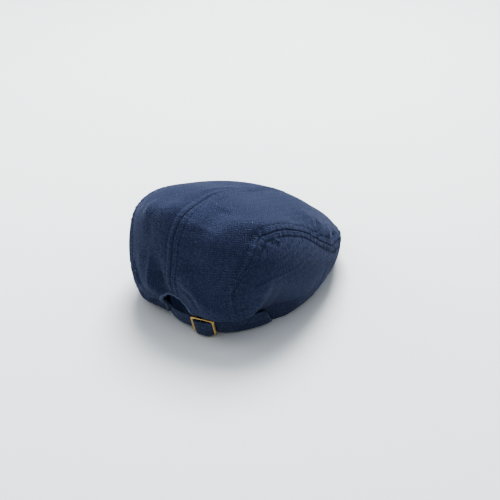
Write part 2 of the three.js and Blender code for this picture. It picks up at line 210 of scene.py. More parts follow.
def in_spans(place: Array, spans: int) -> tuple[Array, Array]:
    """Splits places on a route into the number of the span and the share of it."""
    number = np.clip(np.floor(place).astype(int), 0, spans - 1)
    return number, (place - number)[:, None]


class NaturalCurve:
    """A natural cubic curve y(x) through points whose x values rise."""

    def __init__(self, xs: Sequence[float], ys: Sequence[float]) -> None:
        """Solves the curve's bends.

        Args:
            xs: The rising x values.
            ys: The y value at each of them.
        """
        self.xs = np.asarray(xs, float)
        self.ys = np.asarray(ys, float)
        count = len(self.xs)
        gaps = np.diff(self.xs)
        slopes = np.diff(self.ys) / gaps
        system = np.eye(count)
        right = np.zeros(count)
        for i in range(1, count - 1):
            system[i, i - 1 : i + 2] = gaps[i - 1], 2.0 * (gaps[i - 1] + gaps[i]), gaps[i]
            right[i] = 6.0 * (slopes[i] - slopes[i - 1])
        self.bends = np.linalg.solve(system, right)

    def __call__(self, x: Array) -> Array:
        """Follows the curve.

        Args:
            x: Places along it.

        Returns:
            The curve's height at each place.
        """
        i = np.clip(np.searchsorted(self.xs, x) - 1, 0, len(self.xs) - 2)
        span = self.xs[i + 1] - self.xs[i]
        a = (self.xs[i + 1] - x) / span
        b = 1.0 - a
        sag = ((a**3 - a) * self.bends[i] + (b**3 - b) * self.bends[i + 1]) * span * span / 6.0
        return a * self.ys[i] + b * self.ys[i + 1] + sag


class PassingCurve:
    """A centripetal Catmull-Rom curve through points."""

    def __init__(self, points: Sequence[Place]) -> None:
        """Keeps the points, with one more beyond each end.

        Args:
            points: The points that the curve passes through.
        """
        inner = np.asarray(points, float)
        self.spans = len(inner) - 1
        self.points = np.vstack([2 * inner[0] - inner[1], inner, 2 * inner[-1] - inner[-2]])

    def __call__(self, share: Array) -> Array:
        """Follows the curve.

        Args:
            share: Shares of the route, each span counting alike.

        Returns:
            The point at each share.
        """
        i, t = in_spans(np.clip(np.atleast_1d(share), 0.0, 1.0) * self.spans, self.spans)
        p0, p1, p2, p3 = (self.points[i + k] for k in range(4))
        gap0, gap1, gap2 = (
            np.linalg.norm(b - a, axis=1, keepdims=True) ** 0.5 for a, b in ((p0, p1), (p1, p2), (p2, p3))
        )
        leave = ((p1 - p0) / gap0 - (p2 - p0) / (gap0 + gap1) + (p2 - p1) / gap1) * gap1
        arrive = ((p2 - p1) / gap1 - (p3 - p1) / (gap1 + gap2) + (p3 - p2) / gap2) * gap1
        bend2 = -3 * p1 + 3 * p2 - 2 * leave - arrive
        bend3 = 2 * p1 - 2 * p2 + leave + arrive
        return p1 + leave * t + bend2 * t**2 + bend3 * t**3


def flat_curve(places: Sequence[Flat], count: int) -> Array:
    """A uniform Catmull-Rom curve through flat places.

    Args:
        places: The places that the curve passes through.
        count: How many points are wanted.

    Returns:
        The points, each span counting alike.
    """
    inner = np.asarray(places, float)
    spans = len(inner) - 1
    padded = np.vstack([inner[0], inner, inner[-1]])
    i, t = in_spans(np.linspace(0.0, spans, count), spans)
    p0, p1, p2, p3 = (padded[i + k] for k in range(4))
    leave, arrive = 0.5 * (p2 - p0), 0.5 * (p3 - p1)
    return (
        (2 * t**3 - 3 * t**2 + 1) * p1
        + (t**3 - 2 * t**2 + t) * leave
        + (3 * t**2 - 2 * t**3) * p2
        + (t**3 - t**2) * arrive
    )


# ---------- the crown's form ----------


@dataclass(frozen=True)
class Ring:
    """One level of the crown, from the hem (reach 1) to the top (reach 0)."""

    reach: float
    height: float
    front: float
    back: float
    half_width: float
    widest_y: float
    squareness: float


RINGS = (
    Ring(1.0, 0.0, -0.125, 0.107, 0.0815, -0.006, 2.1),
    Ring(0.86, 0.0175, -0.131, 0.125, 0.092, 0.0065, 2.15),
    Ring(0.72, 0.036, -0.125, 0.131, 0.1, 0.02, 2.15),
    Ring(0.58, 0.06, -0.096, 0.1285, 0.1015, 0.034, 2.15),
    Ring(0.44, 0.088, -0.058, 0.1225, 0.094, 0.0485, 2.15),
    Ring(0.3, 0.109, -0.007, 0.119, 0.079, 0.062, 2.1),
    Ring(0.16, 0.126, 0.035, 0.105, 0.052, 0.071, 2.05),
    Ring(0.0, 0.132, 0.0725, 0.0725, 0.0, 0.0725, 2.0),
)


@dataclass(frozen=True)
class Fold:
    """A soft ridge (height above zero) or dent (below zero) along a bent line."""

    start: Place
    via: Place
    end: Place
    width: float
    height: float

    def line(self) -> Array:
        """Bends the line.

        Returns:
            Points along it.
        """
        t = np.linspace(0.0, 1.0, FOLD_STEPS)[:, None]
        a, b, c = (np.asarray(place) for place in (self.start, self.via, self.end))
        return (1 - t) ** 2 * a + 2 * t * (1 - t) * b + t**2 * c


# The folds that give the cap its outline.
MAIN_FOLDS = (
    Fold((0.042, 0.122, 0.074), (0.033, 0.128, 0.048), (0.016, 0.12, 0.04), 0.008, 0.004),
    Fold((0.017, 0.128, 0.08), (0.014, 0.128, 0.062), (0.011, 0.124, 0.05), 0.007, -0.003),
    Fold((-0.02, 0.127, 0.066), (-0.03, 0.124, 0.044), (-0.062, 0.104, 0.036), 0.007, 0.003),
    Fold((-0.018, 0.124, 0.048), (-0.026, 0.121, 0.036), (-0.036, 0.116, 0.028), 0.007, -0.003),
    Fold((0.026, 0.112, 0.012), (0.003, 0.142, 0.066), (-0.022, 0.114, 0.014), 0.019, -0.013),
    Fold((0.036, 0.104, 0.008), (0.064, 0.106, 0.012), (0.082, 0.06, 0.014), 0.016, 0.008),
    Fold((-0.066, -0.02, 0.088), (-0.078, -0.03, 0.078), (-0.086, -0.038, 0.068), 0.013, 0.0025),
)

# The finer creases of the soft cloth: on top, left of the arch, right of the arch, over the side seam's
# shoulder, and at the front on the right, where two broad ones push the hem out and in.
TOP_CREASES = (
    Fold((0.0, 0.118, 0.104), (0.0, 0.1, 0.124), (0.0, 0.06, 0.133), 0.009, -0.0012),
    Fold((0.018, 0.055, 0.13), (0.019, 0.105, 0.135), (0.015, 0.1155, 0.113), 0.0065, 0.0006),
    Fold((-0.0055, 0.099, 0.128), (-0.0058, 0.07, 0.1335), (-0.0105, 0.035, 0.1262), 0.0034, 0.0011),
    Fold((-0.0105, 0.035, 0.1262), (-0.008, 0.015, 0.119), (0.003, -0.03, 0.101), 0.0045, 0.0012),
    Fold((0.013, 0.06, 0.131), (0.0105, 0.035, 0.127), (0.013, -0.004, 0.11), 0.0045, 0.0012),
    Fold((-0.03, 0.103, 0.1225), (-0.029, 0.088, 0.129), (-0.026, 0.066, 0.129), 0.0105, -0.0036),
    Fold((0.0529, 0.0975, 0.1199), (0.024, 0.11, 0.1297), (0.0032, 0.0885, 0.1307), 0.0125, 0.0045),
    Fold((-0.014, 0.1, 0.1265), (-0.023, 0.122, 0.106), (-0.026, 0.121, 0.078), 0.0165, -0.0036),
    Fold((0.03, 0.098, 0.1245), (0.036, 0.112, 0.113), (0.031, 0.1175, 0.1), 0.006, -0.0014),
)
LEFT_CREASES = (
    Fold((0.056, 0.109, 0.022), (0.046, 0.117, 0.018), (0.032, 0.108, 0.014), 0.009, -0.003),
    Fold((0.029, 0.121, 0.0865), (0.0296, 0.1303, 0.0714), (0.0225, 0.1222, 0.038), 0.0034, 0.0032),
    Fold((0.0165, 0.1225, 0.074), (0.0145, 0.124, 0.055), (0.016, 0.1235, 0.042), 0.006, -0.0044),
    Fold((0.0428, 0.122, 0.0765), (0.0385, 0.125, 0.069), (0.0355, 0.1268, 0.0515), 0.006, -0.0024),
    Fold((0.063, 0.112, 0.0612), (0.049, 0.1215, 0.0585), (0.0433, 0.1214, 0.039), 0.0028, 0.0028),
    Fold((0.068, 0.107, 0.05), (0.0555, 0.1165, 0.046), (0.051, 0.116, 0.03), 0.004, -0.0028),
)
ARCH_CREASES = (
    Fold((-0.013, 0.123, 0.081), (-0.0165, 0.126, 0.074), (-0.0175, 0.127, 0.067), 0.006, 0.0014),
    Fold((-0.0215, 0.1225, 0.08), (-0.028, 0.1275, 0.062), (-0.0385, 0.1245, 0.0535), 0.0036, 0.0018),
    Fold((-0.0385, 0.1245, 0.0535), (-0.046, 0.122, 0.0475), (-0.059, 0.115, 0.043), 0.0042, 0.0018),
    Fold((-0.012, 0.126, 0.06), (-0.027, 0.13, 0.063), (-0.0325, 0.1235, 0.04), 0.0036, -0.003),
    Fold((-0.0135, 0.1215, 0.0475), (-0.022, 0.1245, 0.051), (-0.0262, 0.12, 0.035), 0.0022, 0.002),
    Fold((-0.012, 0.121, 0.0445), (-0.0187, 0.1225, 0.0462), (-0.0232, 0.119, 0.034), 0.0014, -0.0011),
)
SHOULDER_CREASES = (
    Fold((-0.036, 0.089, 0.128), (-0.0706, 0.0794, 0.1252), (-0.0748, 0.0083, 0.0997), 0.011, 0.003),
    Fold((-0.066, 0.086, 0.113), (-0.069, 0.078, 0.1165), (-0.0715, 0.062, 0.116), 0.006, -0.0026),
    Fold((-0.0685, 0.086, 0.112), (-0.067, 0.112, 0.098), (-0.0648, 0.1088, 0.052), 0.0028, -0.0017),
    Fold((-0.0803, 0.0652, 0.1078), (-0.0806, 0.0645, 0.107), (-0.081, 0.064, 0.1062), 0.0022, -0.0022),
    Fold((-0.0785, 0.0582, 0.1095), (-0.0805, 0.0576, 0.108), (-0.0838, 0.0566, 0.104), 0.0018, 0.002),
    Fold((-0.0783, 0.0815, 0.106), (-0.08, 0.077, 0.1055), (-0.0815, 0.0733, 0.1044), 0.005, -0.0014),
    Fold((-0.084, 0.089, 0.076), (-0.0855, 0.087, 0.07), (-0.0865, 0.086, 0.06), 0.012, 0.0016),
)
GATHERS = (
    Fold((-0.061, -0.0974, 0.038), (-0.078, -0.08, 0.046), (-0.0798, -0.0642, 0.048), 0.01, 0.0026),
    Fold((-0.0745, 0.044, 0.008), (-0.083, 0.032, 0.012), (-0.0905, 0.0235, 0.02), 0.012, 0.0026),
    Fold((-0.0974, 0.0172, 0.0317), (-0.1, 0.002, 0.034), (-0.097, -0.014, 0.03), 0.012, -0.0018),
    Fold((-0.066, -0.025, 0.0965), (-0.0795, -0.0085, 0.097), (-0.0862, 0.003, 0.0885), 0.0026, 0.0028),
    Fold((-0.069, -0.0275, 0.0945), (-0.0825, -0.0155, 0.0925), (-0.0895, -0.0085, 0.0765), 0.0028, 0.0032),
    Fold((-0.0735, -0.0185, 0.0928), (-0.081, -0.009, 0.0915), (-0.0866, -0.001, 0.086), 0.0012, -0.0014),
    Fold((-0.0735, -0.0345, 0.0845), (-0.083, -0.022, 0.0825), (-0.0893, -0.013, 0.0765), 0.0045, -0.0042),
    Fold((-0.072, -0.0515, 0.068), (-0.0815, -0.0385, 0.0725), (-0.0888, -0.03, 0.0655), 0.003, 0.0026),
    Fold((-0.075, -0.066, 0.054), (-0.081, -0.058, 0.054), (-0.0868, -0.051, 0.0508), 0.003, -0.0026),
)
SOFT_FOLDS = TOP_CREASES + LEFT_CREASES + ARCH_CREASES + SHOULDER_CREASES + GATHERS


@dataclass(frozen=True)
class Cinch:
    """How the strap draws in the cloth behind it, most along its middle and more softly at its sewn end.

    The cloth keeps the clearance to the strap, leaves it again above the collar at the rate of spread, and is
    let go between the two release places at the left.
    """

    clearance: float = 0.0019
    collar: float = 0.0006
    spread: float = 2.6
    end_spread: float = 0.6
    softness: float = 0.0011
    end_softness: float = 0.0042
    end_share: float = 0.1
    end_fade: float = 0.24
    ease_off: float = 0.22
    release_from_x: float = -0.014
    release_to_x: float = -0.004
    top: float = 0.075
    stations: int = 361


@dataclass(frozen=True)
class StrapPlace:
    """A place on the strap's lower edge, and how far the top edge stands out there."""

    x: float
    y: float
    lift: float
    lean: float


STRAP_PLACES = (
    StrapPlace(-0.074, 0.053, 0.004, 0.003),
    StrapPlace(-0.0695, 0.064, 0.0035, 0.003),
    StrapPlace(-0.0605, 0.0768, 0.0022, 0.003),
    StrapPlace(-0.0502, 0.0904, 0.0026, 0.004),
    StrapPlace(-0.037, 0.1008, 0.0038, 0.006),
    StrapPlace(-0.02, 0.106, 0.0046, 0.007),
    StrapPlace(0.0, 0.1068, 0.0036, 0.007),
    StrapPlace(0.015, 0.102, 0.0024, 0.006),
    StrapPlace(0.03, 0.0922, 0.0016, 0.003),
    StrapPlace(0.044, 0.077, 0.0015, 0.002),
)


@dataclass(frozen=True)
class Stations:
    """Places on the strap's route, with a row of each kind for each place.

    foot is on the strap's lower edge, up points to its upper edge and face out of its cloth.
    """

    foot: Array
    along: Array
    outward: Array
    lean: Array
    up: Array
    face: Array


@dataclass
class StrapRoute:
    """The strap's route round the back of the cap."""

    width: float = 0.02
    thickness: float = 0.0022
    small_step: float = 1e-4
    curve: PassingCurve = field(init=False)
    lean: NaturalCurve = field(init=False)

    def __post_init__(self) -> None:
        """Makes the curves from the places."""
        self.curve = PassingCurve([(p.x, p.y, p.lift) for p in STRAP_PLACES])
        self.lean = NaturalCurve(np.linspace(0.0, 1.0, len(STRAP_PLACES)), [p.lean for p in STRAP_PLACES])

    def stations(self, share: Array) -> Stations:
        """Stands at places on the route.

        Args:
            share: The places, from 0 at the sewn end to 1.

        Returns:
            The strap's foot and its directions there.
        """
        ahead, behind = np.minimum(share + self.small_step, 1.0), np.maximum(share - self.small_step, 0.0)
        along = self.curve(ahead) - self.curve(behind)
        along[:, 2] = 0.0
        along = unit(along)
        outward = np.column_stack([-along[:, 1], along[:, 0], np.zeros(len(along))])
        lean = self.lean(share)
        tilt = lean / self.width
        up = outward * tilt[:, None]
        up[:, 2] = np.sqrt(1.0 - tilt**2)
        return Stations(self.curve(share), along, outward, lean, up, np.cross(up, along))


@dataclass(frozen=True)
class PeakForm:
    """The peak: a crescent, arched across and sloping down to its front edge."""

    corner_y: float = -0.048
    half_width: float = 0.076
    depth: float = 0.09
    inner_half_width: float = 0.069
    inner_depth: float = 0.034
    thickness: float = 0.003
    arch: float = 0.009
    slope: float = 0.1

    @property
    def front_y(self) -> float:
        """Where the peak's front edge lies."""
        return self.corner_y - self.depth

    def top(self, x: Array, y: Array) -> Array:
        """The height of the upper face."""
        across = np.maximum(0.0, 1.0 - (x / self.half_width) ** 2)
        return self.thickness + (self.arch + self.slope * (y - self.front_y)) * across


def differences(surface: Map, disc: Array, small: float) -> tuple[Array, Array]:
    """Measures how a surface over the disc changes near each place.

    Args:
        surface: Gives a point for each place on the disc.
        disc: The places.
        small: How far to go to each side of a place.

    Returns:
        The change from one side to the other, along p and along q.
    """
    move_p, move_q = np.array([small, 0.0]), np.array([0.0, small])
    by_p = surface(disc + move_p) - surface(disc - move_p)
    by_q = surface(disc + move_q) - surface(disc - move_q)
    return by_p, by_q


def outward_of(surface: Map, disc: Array) -> Array:
    """The outward direction of a surface over the disc."""
    return unit(np.cross(*differences(surface, disc, DIRECTION_STEP)))


@dataclass
class CrownForm:
    """The crown as a map from a flat disc to space.

    A place on the disc is (p, q). Its distance from the middle is its reach, 0 at the top of the crown and 1
    at the hem, and q points to the back.
    """

    strap: StrapRoute
    peak: PeakForm
    wall: float = 0.0018
    cinch: Cinch = Cinch()
    # Directions are never taken nearer to the top than this.
    middle_reach: float = 1e-6
    # The hem rises over the peak, and a little at the back on the left.
    lift_start_y: float = -0.018
    lift_end_y: float = -0.042
    lift_clearance: float = 0.0012
    lift_fades_at_reach: float = 0.7
    back_lift: float = 0.0028
    back_lift_x: float = 0.036
    back_lift_width: float = 0.026
    back_lift_grows_to_y: float = 0.06
    # Folds push level with the floor next to the hem. The finer creases fade out at both ends.
    level_from_reach: float = 0.93
    level_over: float = 0.06
    fold_felt: float = 3.0
    fold_fade: float = 0.22
    fold_end: float = 0.2
    # How disc places are looked for.
    tangent_step: float = 1e-3
    solve_rounds: int = 12
    solve_step: float = 0.05
    solve_floor: float = 1e-7
    guess_turns: int = 361
    guess_reaches: int = 80
    guess_from_reach: float = 0.02

    def __post_init__(self) -> None:
        """Makes the ring curves, mirrored through the top so that the crown closes smoothly."""
        self.height = self._ring_curve([r.height for r in RINGS], 1)
        self.widest_y = self._ring_curve([r.widest_y for r in RINGS], 1)
        self.squareness = self._ring_curve([r.squareness for r in RINGS], 1)
        self.half_width = self._ring_curve([r.half_width for r in RINGS], -1)
        self.forward = self._ring_curve([r.widest_y - r.front for r in RINGS], -1)
        self.rearward = self._ring_curve([r.back - r.widest_y for r in RINGS], -1)
        self.fold_lines = [(fold, fold.line()) for fold in MAIN_FOLDS + SOFT_FOLDS]
        self.stations = self.strap.stations(np.linspace(0.0, 1.0, self.cinch.stations))

    @staticmethod
    def _ring_curve(values: list[float], mirror_sign: int) -> NaturalCurve:
        """A ring column as a curve over reach.

        Args:
            values: The column, from the hem to the top.
            mirror_sign: The sign of the values beyond the top.

        Returns:
            The curve, from reach -1 to 1.
        """
        reaches = [r.reach for r in RINGS]
        xs = [-reach for reach in reaches[:-1]] + reaches[::-1]
        ys = [mirror_sign * value for value in values[:-1]] + values[::-1]
        return NaturalCurve(xs, ys)

    def hem_lift(self, x: Array, y: Array) -> Array:
        """How far the hem stands above the floor, so that it clears the peak in front.

        Args:
            x: How far to the left the places are.
            y: How far back they are.

        Returns:
            The heights.
        """
        on_peak = ease_step((self.lift_start_y - y) / (self.lift_start_y - self.lift_end_y))
        grown = ease_step(y / self.back_lift_grows_to_y)
        at_back = self.back_lift * bump(x - self.back_lift_x, self.back_lift_width) * grown
        return on_peak * (self.peak.top(x, y) + self.lift_clearance) + at_back

    def smooth(self, disc: Array) -> Array:
        """The crown with no folds.

        Args:
            disc: Places on the disc.

        Returns:
            Their points.
        """
        reach = np.maximum(reach_of(disc), self.middle_reach)
        across, along = disc[:, 0] / reach, disc[:, 1] / reach
        half_length = np.where(along > 0, self.rearward(reach), self.forward(reach))
        power = self.squareness(reach)
        spread = (np.abs(across) / self.half_width(reach)) ** power + (np.abs(along) / half_length) ** power
        radius = np.maximum(spread, TINY) ** (-1.0 / power)
        x = radius * across
        y = self.widest_y(reach) + radius * along
        fade = ease_step((reach - self.lift_fades_at_reach) / (1.0 - self.lift_fades_at_reach))
        return np.column_stack([x, y, self.height(reach) + self.hem_lift(x, y) * fade])

    def folded(self, disc: Array, depth: float) -> Array:
        """The folded cloth before the strap draws it in.

        Args:
            disc: Places on the disc.
            depth: How far below the cloth's outer face.

        Returns:
            Their points.
        """
        points = self.smooth(disc)
        normal = outward_of(self.smooth, disc)
        level = ease_step((reach_of(disc) - self.level_from_reach) / self.level_over)
        normal[:, 2] *= 1.0 - level
        normal = unit(normal)
        height = np.zeros(len(points))
        for index, (fold, line) in enumerate(self.fold_lines):
            low, high = line.min(0) - self.fold_felt * fold.width, line.max(0) + self.fold_felt * fold.width
            close = np.flatnonzero(((points > low) & (points < high)).all(1))
            distance, along = near_line(points[close], line)
            strength = fold.height * bump(distance, fold.width)
            if index >= len(MAIN_FOLDS):
                share = along / lengths_along(line)[-1]
                whole = ease_step(share / self.fold_fade) * ease_step((1.0 - share) / self.fold_fade)
                strength *= self.fold_end + (1.0 - self.fold_end) * whole
            height[close] += strength
        return points + normal * (height - depth)[:, None]

    def _drawn_in(self, points: Array, release: Array, depth: float) -> Array:
        """Draws the cloth in behind the strap.

        Args:
            points: Points of the folded cloth.
            release: How fully the strap holds each of them, from 0 to 1.
            depth: How far below the cloth's outer face they are.

        Returns:
            The moved points.
        """
        cinch, stations, width = self.cinch, self.stations, self.strap.width
        nearest = np.empty(len(points), int)
        for low in range(0, len(points), CHUNK):
            gap = points[low : low + CHUNK, None, :2] - stations.foot[None, :, :2]
            nearest[low : low + CHUNK] = (gap**2).sum(2).argmin(1)
        away = points - stations.foot[nearest]
        outward, along = stations.outward[nearest], stations.along[nearest]
        height = np.clip(away[:, 2], 0.0, width)
        above = np.maximum(0.0, away[:, 2] - width - cinch.collar)
        past = np.where(nearest == 0, np.maximum(0.0, -(away * along).sum(1)), 0.0)
        room = self.strap.thickness / 2 + cinch.clearance + depth
        share = nearest / (cinch.stations - 1)
        from_end = ease_step((share - cinch.end_share) / cinch.end_fade)
        spread = cinch.end_spread + (cinch.spread - cinch.end_spread) * from_end
        softness = cinch.end_softness + (cinch.softness - cinch.end_softness) * from_end
        limit = stations.lean[nearest] * height / width - room + spread * above + cinch.ease_off * past
        excess = ((away * outward).sum(1) - limit) / softness
        pull = softness * np.logaddexp(0.0, excess)
        return points - outward * (pull * release)[:, None]

    def cloth(self, disc: Array, depth: float = 0.0) -> Array:
        """The finished form of the cloth.

        Args:
            disc: Places on the disc.
            depth: How far below the cloth's outer face.

        Returns:
            Their points.
        """
        points = self.folded(disc, depth)
        cinch = self.cinch
        release = ease_step((cinch.release_to_x - points[:, 0]) / (cinch.release_to_x - cinch.release_from_x))
        active = np.flatnonzero((release > 0) & (points[:, 1] > 0) & (points[:, 2] < cinch.top))
        if len(active):
            points[active] = self._drawn_in(points[active], release[active], depth)
        return points

    def normal(self, disc: Array) -> Array:
        """The outward direction of the finished cloth."""
        return outward_of(self.cloth, disc)

    def tangents(self, disc: Array) -> tuple[Array, Array]:
        """How far a point moves for each unit of p and of q."""
        by_p, by_q = differences(self.cloth, disc, self.tangent_step)
        return by_p / (2 * self.tangent_step), by_q / (2 * self.tangent_step)

    def solve(self, wanted: Array, axes: tuple[int, int], start: Array) -> Array:
        """Finds the disc places whose cloth has two wanted coordinates.

        Args:
            wanted: The wanted coordinates, two for each place.
            axes: Which two of x, y and z they are.
            start: A first guess for each place.

        Returns:
            The places on the disc.
        """
        disc = start.copy()
        pick = list(axes)
        for _ in range(self.solve_rounds):
            miss_0, miss_1 = (wanted - self.cloth(disc)[:, pick]).T
            (p_0, p_1), (q_0, q_1) = (by[:, pick].T for by in self.tangents(disc))
            determinant = p_0 * q_1 - q_0 * p_1
            flat = np.abs(determinant) < self.solve_floor
            determinant = np.where(flat, self.solve_floor, determinant)
            step_p = (q_1 * miss_0 - q_0 * miss_1) / determinant
            step_q = (p_0 * miss_1 - p_1 * miss_0) / determinant
            step = np.column_stack([step_p, step_q])
            size = np.linalg.norm(step, axis=1, keepdims=True)
            disc += step * np.minimum(1.0, self.solve_step / np.maximum(size, TINY))
        return disc

    def first_guess(self, wanted: Array, axes: tuple[int, int], keep: Callable[[Array], Array]) -> Array:
        """The nearest of a coarse set of disc places for each wanted pair of coordinates.

        Args:
            wanted: The wanted coordinates, two for each place.
            axes: Which two of x, y and z they are.
            keep: Says which of the coarse places may be used, from their points.

        Returns:
            A place on the disc for each wanted pair.
        """
        turns = np.linspace(-math.pi, math.pi, self.guess_turns)
        turn, reach = np.meshgrid(turns, np.linspace(self.guess_from_reach, 1.0, self.guess_reaches))
        disc = on_circle(turn.ravel()) * reach.reshape(-1, 1)
        points = self.cloth(disc)
        allowed = keep(points)
        disc, flat = disc[allowed], points[allowed][:, list(axes)]
        nearest = [((flat - pair) ** 2).sum(1).argmin() for pair in wanted]
        return disc[nearest]


# ---------- seams ----------


@dataclass(frozen=True)
class StitchRow:
    """A row of topstitching beside a seam. offset is to the seam's first side when above zero."""

    offset: float
    start: float = 0.01
    end: float = 0.99


@dataclass
class Seam:
    """A line on the crown where two panels meet.

    The joint is a narrow groove. The turned edges below raise a band on each side, with a shallow trench
    beyond it, each row of stitches dents the cloth, and puckers run out from the joint.
    """

    form: CrownForm
    disc: Array
    seed: int
    rows: tuple[StitchRow, ...]
    spacing: float = 0.0008
    coarse: int = 3
    felt_to: float = 0.03
    groove: float = 0.0011
    groove_width: float = 0.0009
    band: float = 0.00045
    band_width: float = 0.0056
    band_falls_from: float = 0.75
    band_falls_to: float = 1.25
    trench: float = 0.0007
    trench_width: float = 0.0013
    dent: float = 0.00022
    dent_width: float = 0.0007
    pucker: float = 0.00028
    pucker_pitch: float = 0.0075
    pucker_starts: float = 0.002
    pucker_full_to: float = 0.004
    pucker_spread: float = 0.0065
    pucker_end_fade: float = 0.012
    points: Array = field(init=False)
    length: float = field(init=False)

    def __post_init__(self) -> None:
        """Spaces the line evenly and lays it on the cloth."""
        self.disc = evenly_spaced(self.form.cloth(self.disc), self.disc, self.spacing)
        self.points = self.form.cloth(self.disc)
        self.length = lengths_along(self.points)[-1]

    def across(self) -> Array:
        """The direction along the cloth to the seam's first side."""
        along = unit(np.gradient(self.points, axis=0))
        return unit(np.cross(self.form.normal(self.disc), along))

    def moved(self, offset: float) -> Array:
        """Moves the line sideways over the cloth.

        Args:
            offset: How far, to the seam's first side.

        Returns:
            The new line, as places on the disc.
        """
        by_p, by_q = self.form.tangents(self.disc)
        wanted = self.across() * offset
        pp, pq, qq = (by_p * by_p).sum(1), (by_p * by_q).sum(1), (by_q * by_q).sum(1)
        wp, wq = (wanted * by_p).sum(1), (wanted * by_q).sum(1)
        determinant = np.maximum(pp * qq - pq * pq, TINY)
        step_p, step_q = (qq * wp - pq * wq) / determinant, (pp * wq - pq * wp) / determinant
        return self.disc + np.column_stack([step_p, step_q])

    def relief(self, points: Array) -> Array:
        """Measures the seam's relief near it.

        Args:
            points: Points on the cloth.

        Returns:
            How far the seam raises the cloth at each of them, below zero where it sinks it.
        """
        height = np.zeros(len(points))
        low, high = self.points.min(0) - self.felt_to, self.points.max(0) + self.felt_to
        close = np.flatnonzero(((points > low) & (points < high)).all(1))
        distance, along = near_line(points[close], self.points[:: self.coarse])
        near = distance < self.felt_to
        close, distance, along = close[near], distance[near], along[near]
        width = self.band_width
        fall_width = (self.band_falls_to - self.band_falls_from) * width
        fall = (distance - self.band_falls_from * width) / fall_width
        shape = -self.groove * bump(distance, self.groove_width)
        shape += self.band * (1.0 - ease_step(fall))
        shape -= self.trench * bump(distance - self.band_falls_to * width, self.trench_width)
        for offset in sorted({abs(row.offset) for row in self.rows}):
            shape -= self.dent * bump(distance - offset, self.dent_width)
        wave = ripple(along, self.pucker_pitch, self.seed)
        spread = bump(np.maximum(0.0, distance - self.pucker_full_to), self.pucker_spread)
        spread = spread * ease_step(distance / self.pucker_starts)
        fade = self.pucker_end_fade
        ends = ease_step(along / fade) * ease_step((self.length - along) / fade)
        shape += self.pucker * wave * spread * ends
        height[close] = shape
        return height


@dataclass
class Pattern:
    """The lines that the crown's panels are cut along.

    seam_places gives the side seam as (y, z) places from the back hem over the shoulder to the front hem.
    """

    form: CrownForm
    arch_middle_x: float = 0.001
    arch_half_width: float = 0.022
    arch_shoulder: float = 0.02
    arch_top: float = 0.0455
    arch_foot: float = 0.0008
    arch_behind_y: float = 0.07
    left_flare: float = 0.006
    flare_power: float = 1.6
    leg_steps: int = 14
    curve_steps: int = 61
    seam_steps: int = 240
    seam_beyond_x: float = 0.02
    hem_reach: float = 0.999
    seam_places: tuple[Flat, ...] = (
        (0.083, -0.008), (0.095, 0.014), (0.106, 0.038), (0.108, 0.062), (0.1, 0.087),
        (0.087, 0.105), (0.07, 0.114), (0.044, 0.111), (0.012, 0.095), (-0.014, 0.073),
        (-0.042, 0.053), (-0.074, 0.042), (-0.1, 0.028), (-0.11, -0.008),
    )

    def __post_init__(self) -> None:
        """Finds every line on the disc."""
        self.side_seam = {side: self._find_side_seam(side) for side in Side}
        self.arch = self._find_arch()

    def _find_side_seam(self, side: Side) -> Array:
        """Finds a side seam on the disc.

        Args:
            side: Which half of the cap it is on.

        Returns:
            The seam, from the back hem to the front hem.
        """
        route = flat_curve(self.seam_places, self.seam_steps)
        beyond = self.seam_beyond_x
        guess = self.form.first_guess(route, (1, 2), lambda points: side.value * points[:, 0] > beyond)
        disc = self.form.solve(route, (1, 2), guess)
        reach = reach_of(disc)
        inside = np.flatnonzero(reach < self.hem_reach)
        first, last = inside[0], inside[-1]
        back = self._on_hem(disc, reach, first - 1, first)
        front = self._on_hem(disc, reach, last + 1, last)
        return np.vstack([back, disc[first : last + 1], front])

    @staticmethod
    def _on_hem(disc: Array, reach: Array, outside: int, inside: int) -> Array:
        """Finds where a line crosses the hem.

        Args:
            disc: The line's places on the disc.
            reach: The reach of each of them.
            outside: The number of the place just outside the hem.
            inside: The number of its neighbour inside the hem.

        Returns:
            The place on the hem.
        """
        share = (1.0 - reach[inside]) / (reach[outside] - reach[inside])
        place = disc[inside] + share * (disc[outside] - disc[inside])
        return place / np.linalg.norm(place)

    def _find_arch(self) -> Array:
        """Finds the arch's edge on the disc.

        Returns:
            The edge, from its left foot over the top to its right foot.
        """
        middle, half, shoulder = self.arch_middle_x, self.arch_half_width, self.arch_shoulder
        legs = np.linspace(self.arch_foot, shoulder, self.leg_steps)[:-1]
        rise = self.arch_top - shoulder
        flare = self.left_flare * (1.0 - legs / shoulder) ** self.flare_power
        left_leg = [(middle + half + out, z) for out, z in zip(flare, legs)]
        turns = np.linspace(0.0, math.pi, self.curve_steps)
        curve = [(middle + half * math.cos(turn), shoulder + rise * math.sin(turn)) for turn in turns]
        right_leg = [(middle - half, z) for z in legs[::-1]]
        route = np.array(left_leg + curve + right_leg)
        guess = self.form.first_guess(route, (0, 2), lambda points: points[:, 1] > self.arch_behind_y)
        disc = self.form.solve(route, (0, 2), guess)
        disc = disc / np.maximum(reach_of(disc)[:, None], 1.0)
        left_foot, right_foot = (place / np.linalg.norm(place) for place in (disc[0], disc[-1]))
        return np.vstack([left_foot, disc, right_foot])


# ---------- meshes ----------


def placed(name: str, data: bpy.types.ID) -> bpy.types.Object:
    """Puts a new object in the scene.

    Args:
        name: Its name.
        data: Its mesh, light or camera.

    Returns:
        The object.
    """
    thing = bpy.data.objects.new(name, data)
    bpy.context.scene.collection.objects.link(thing)
    return thing


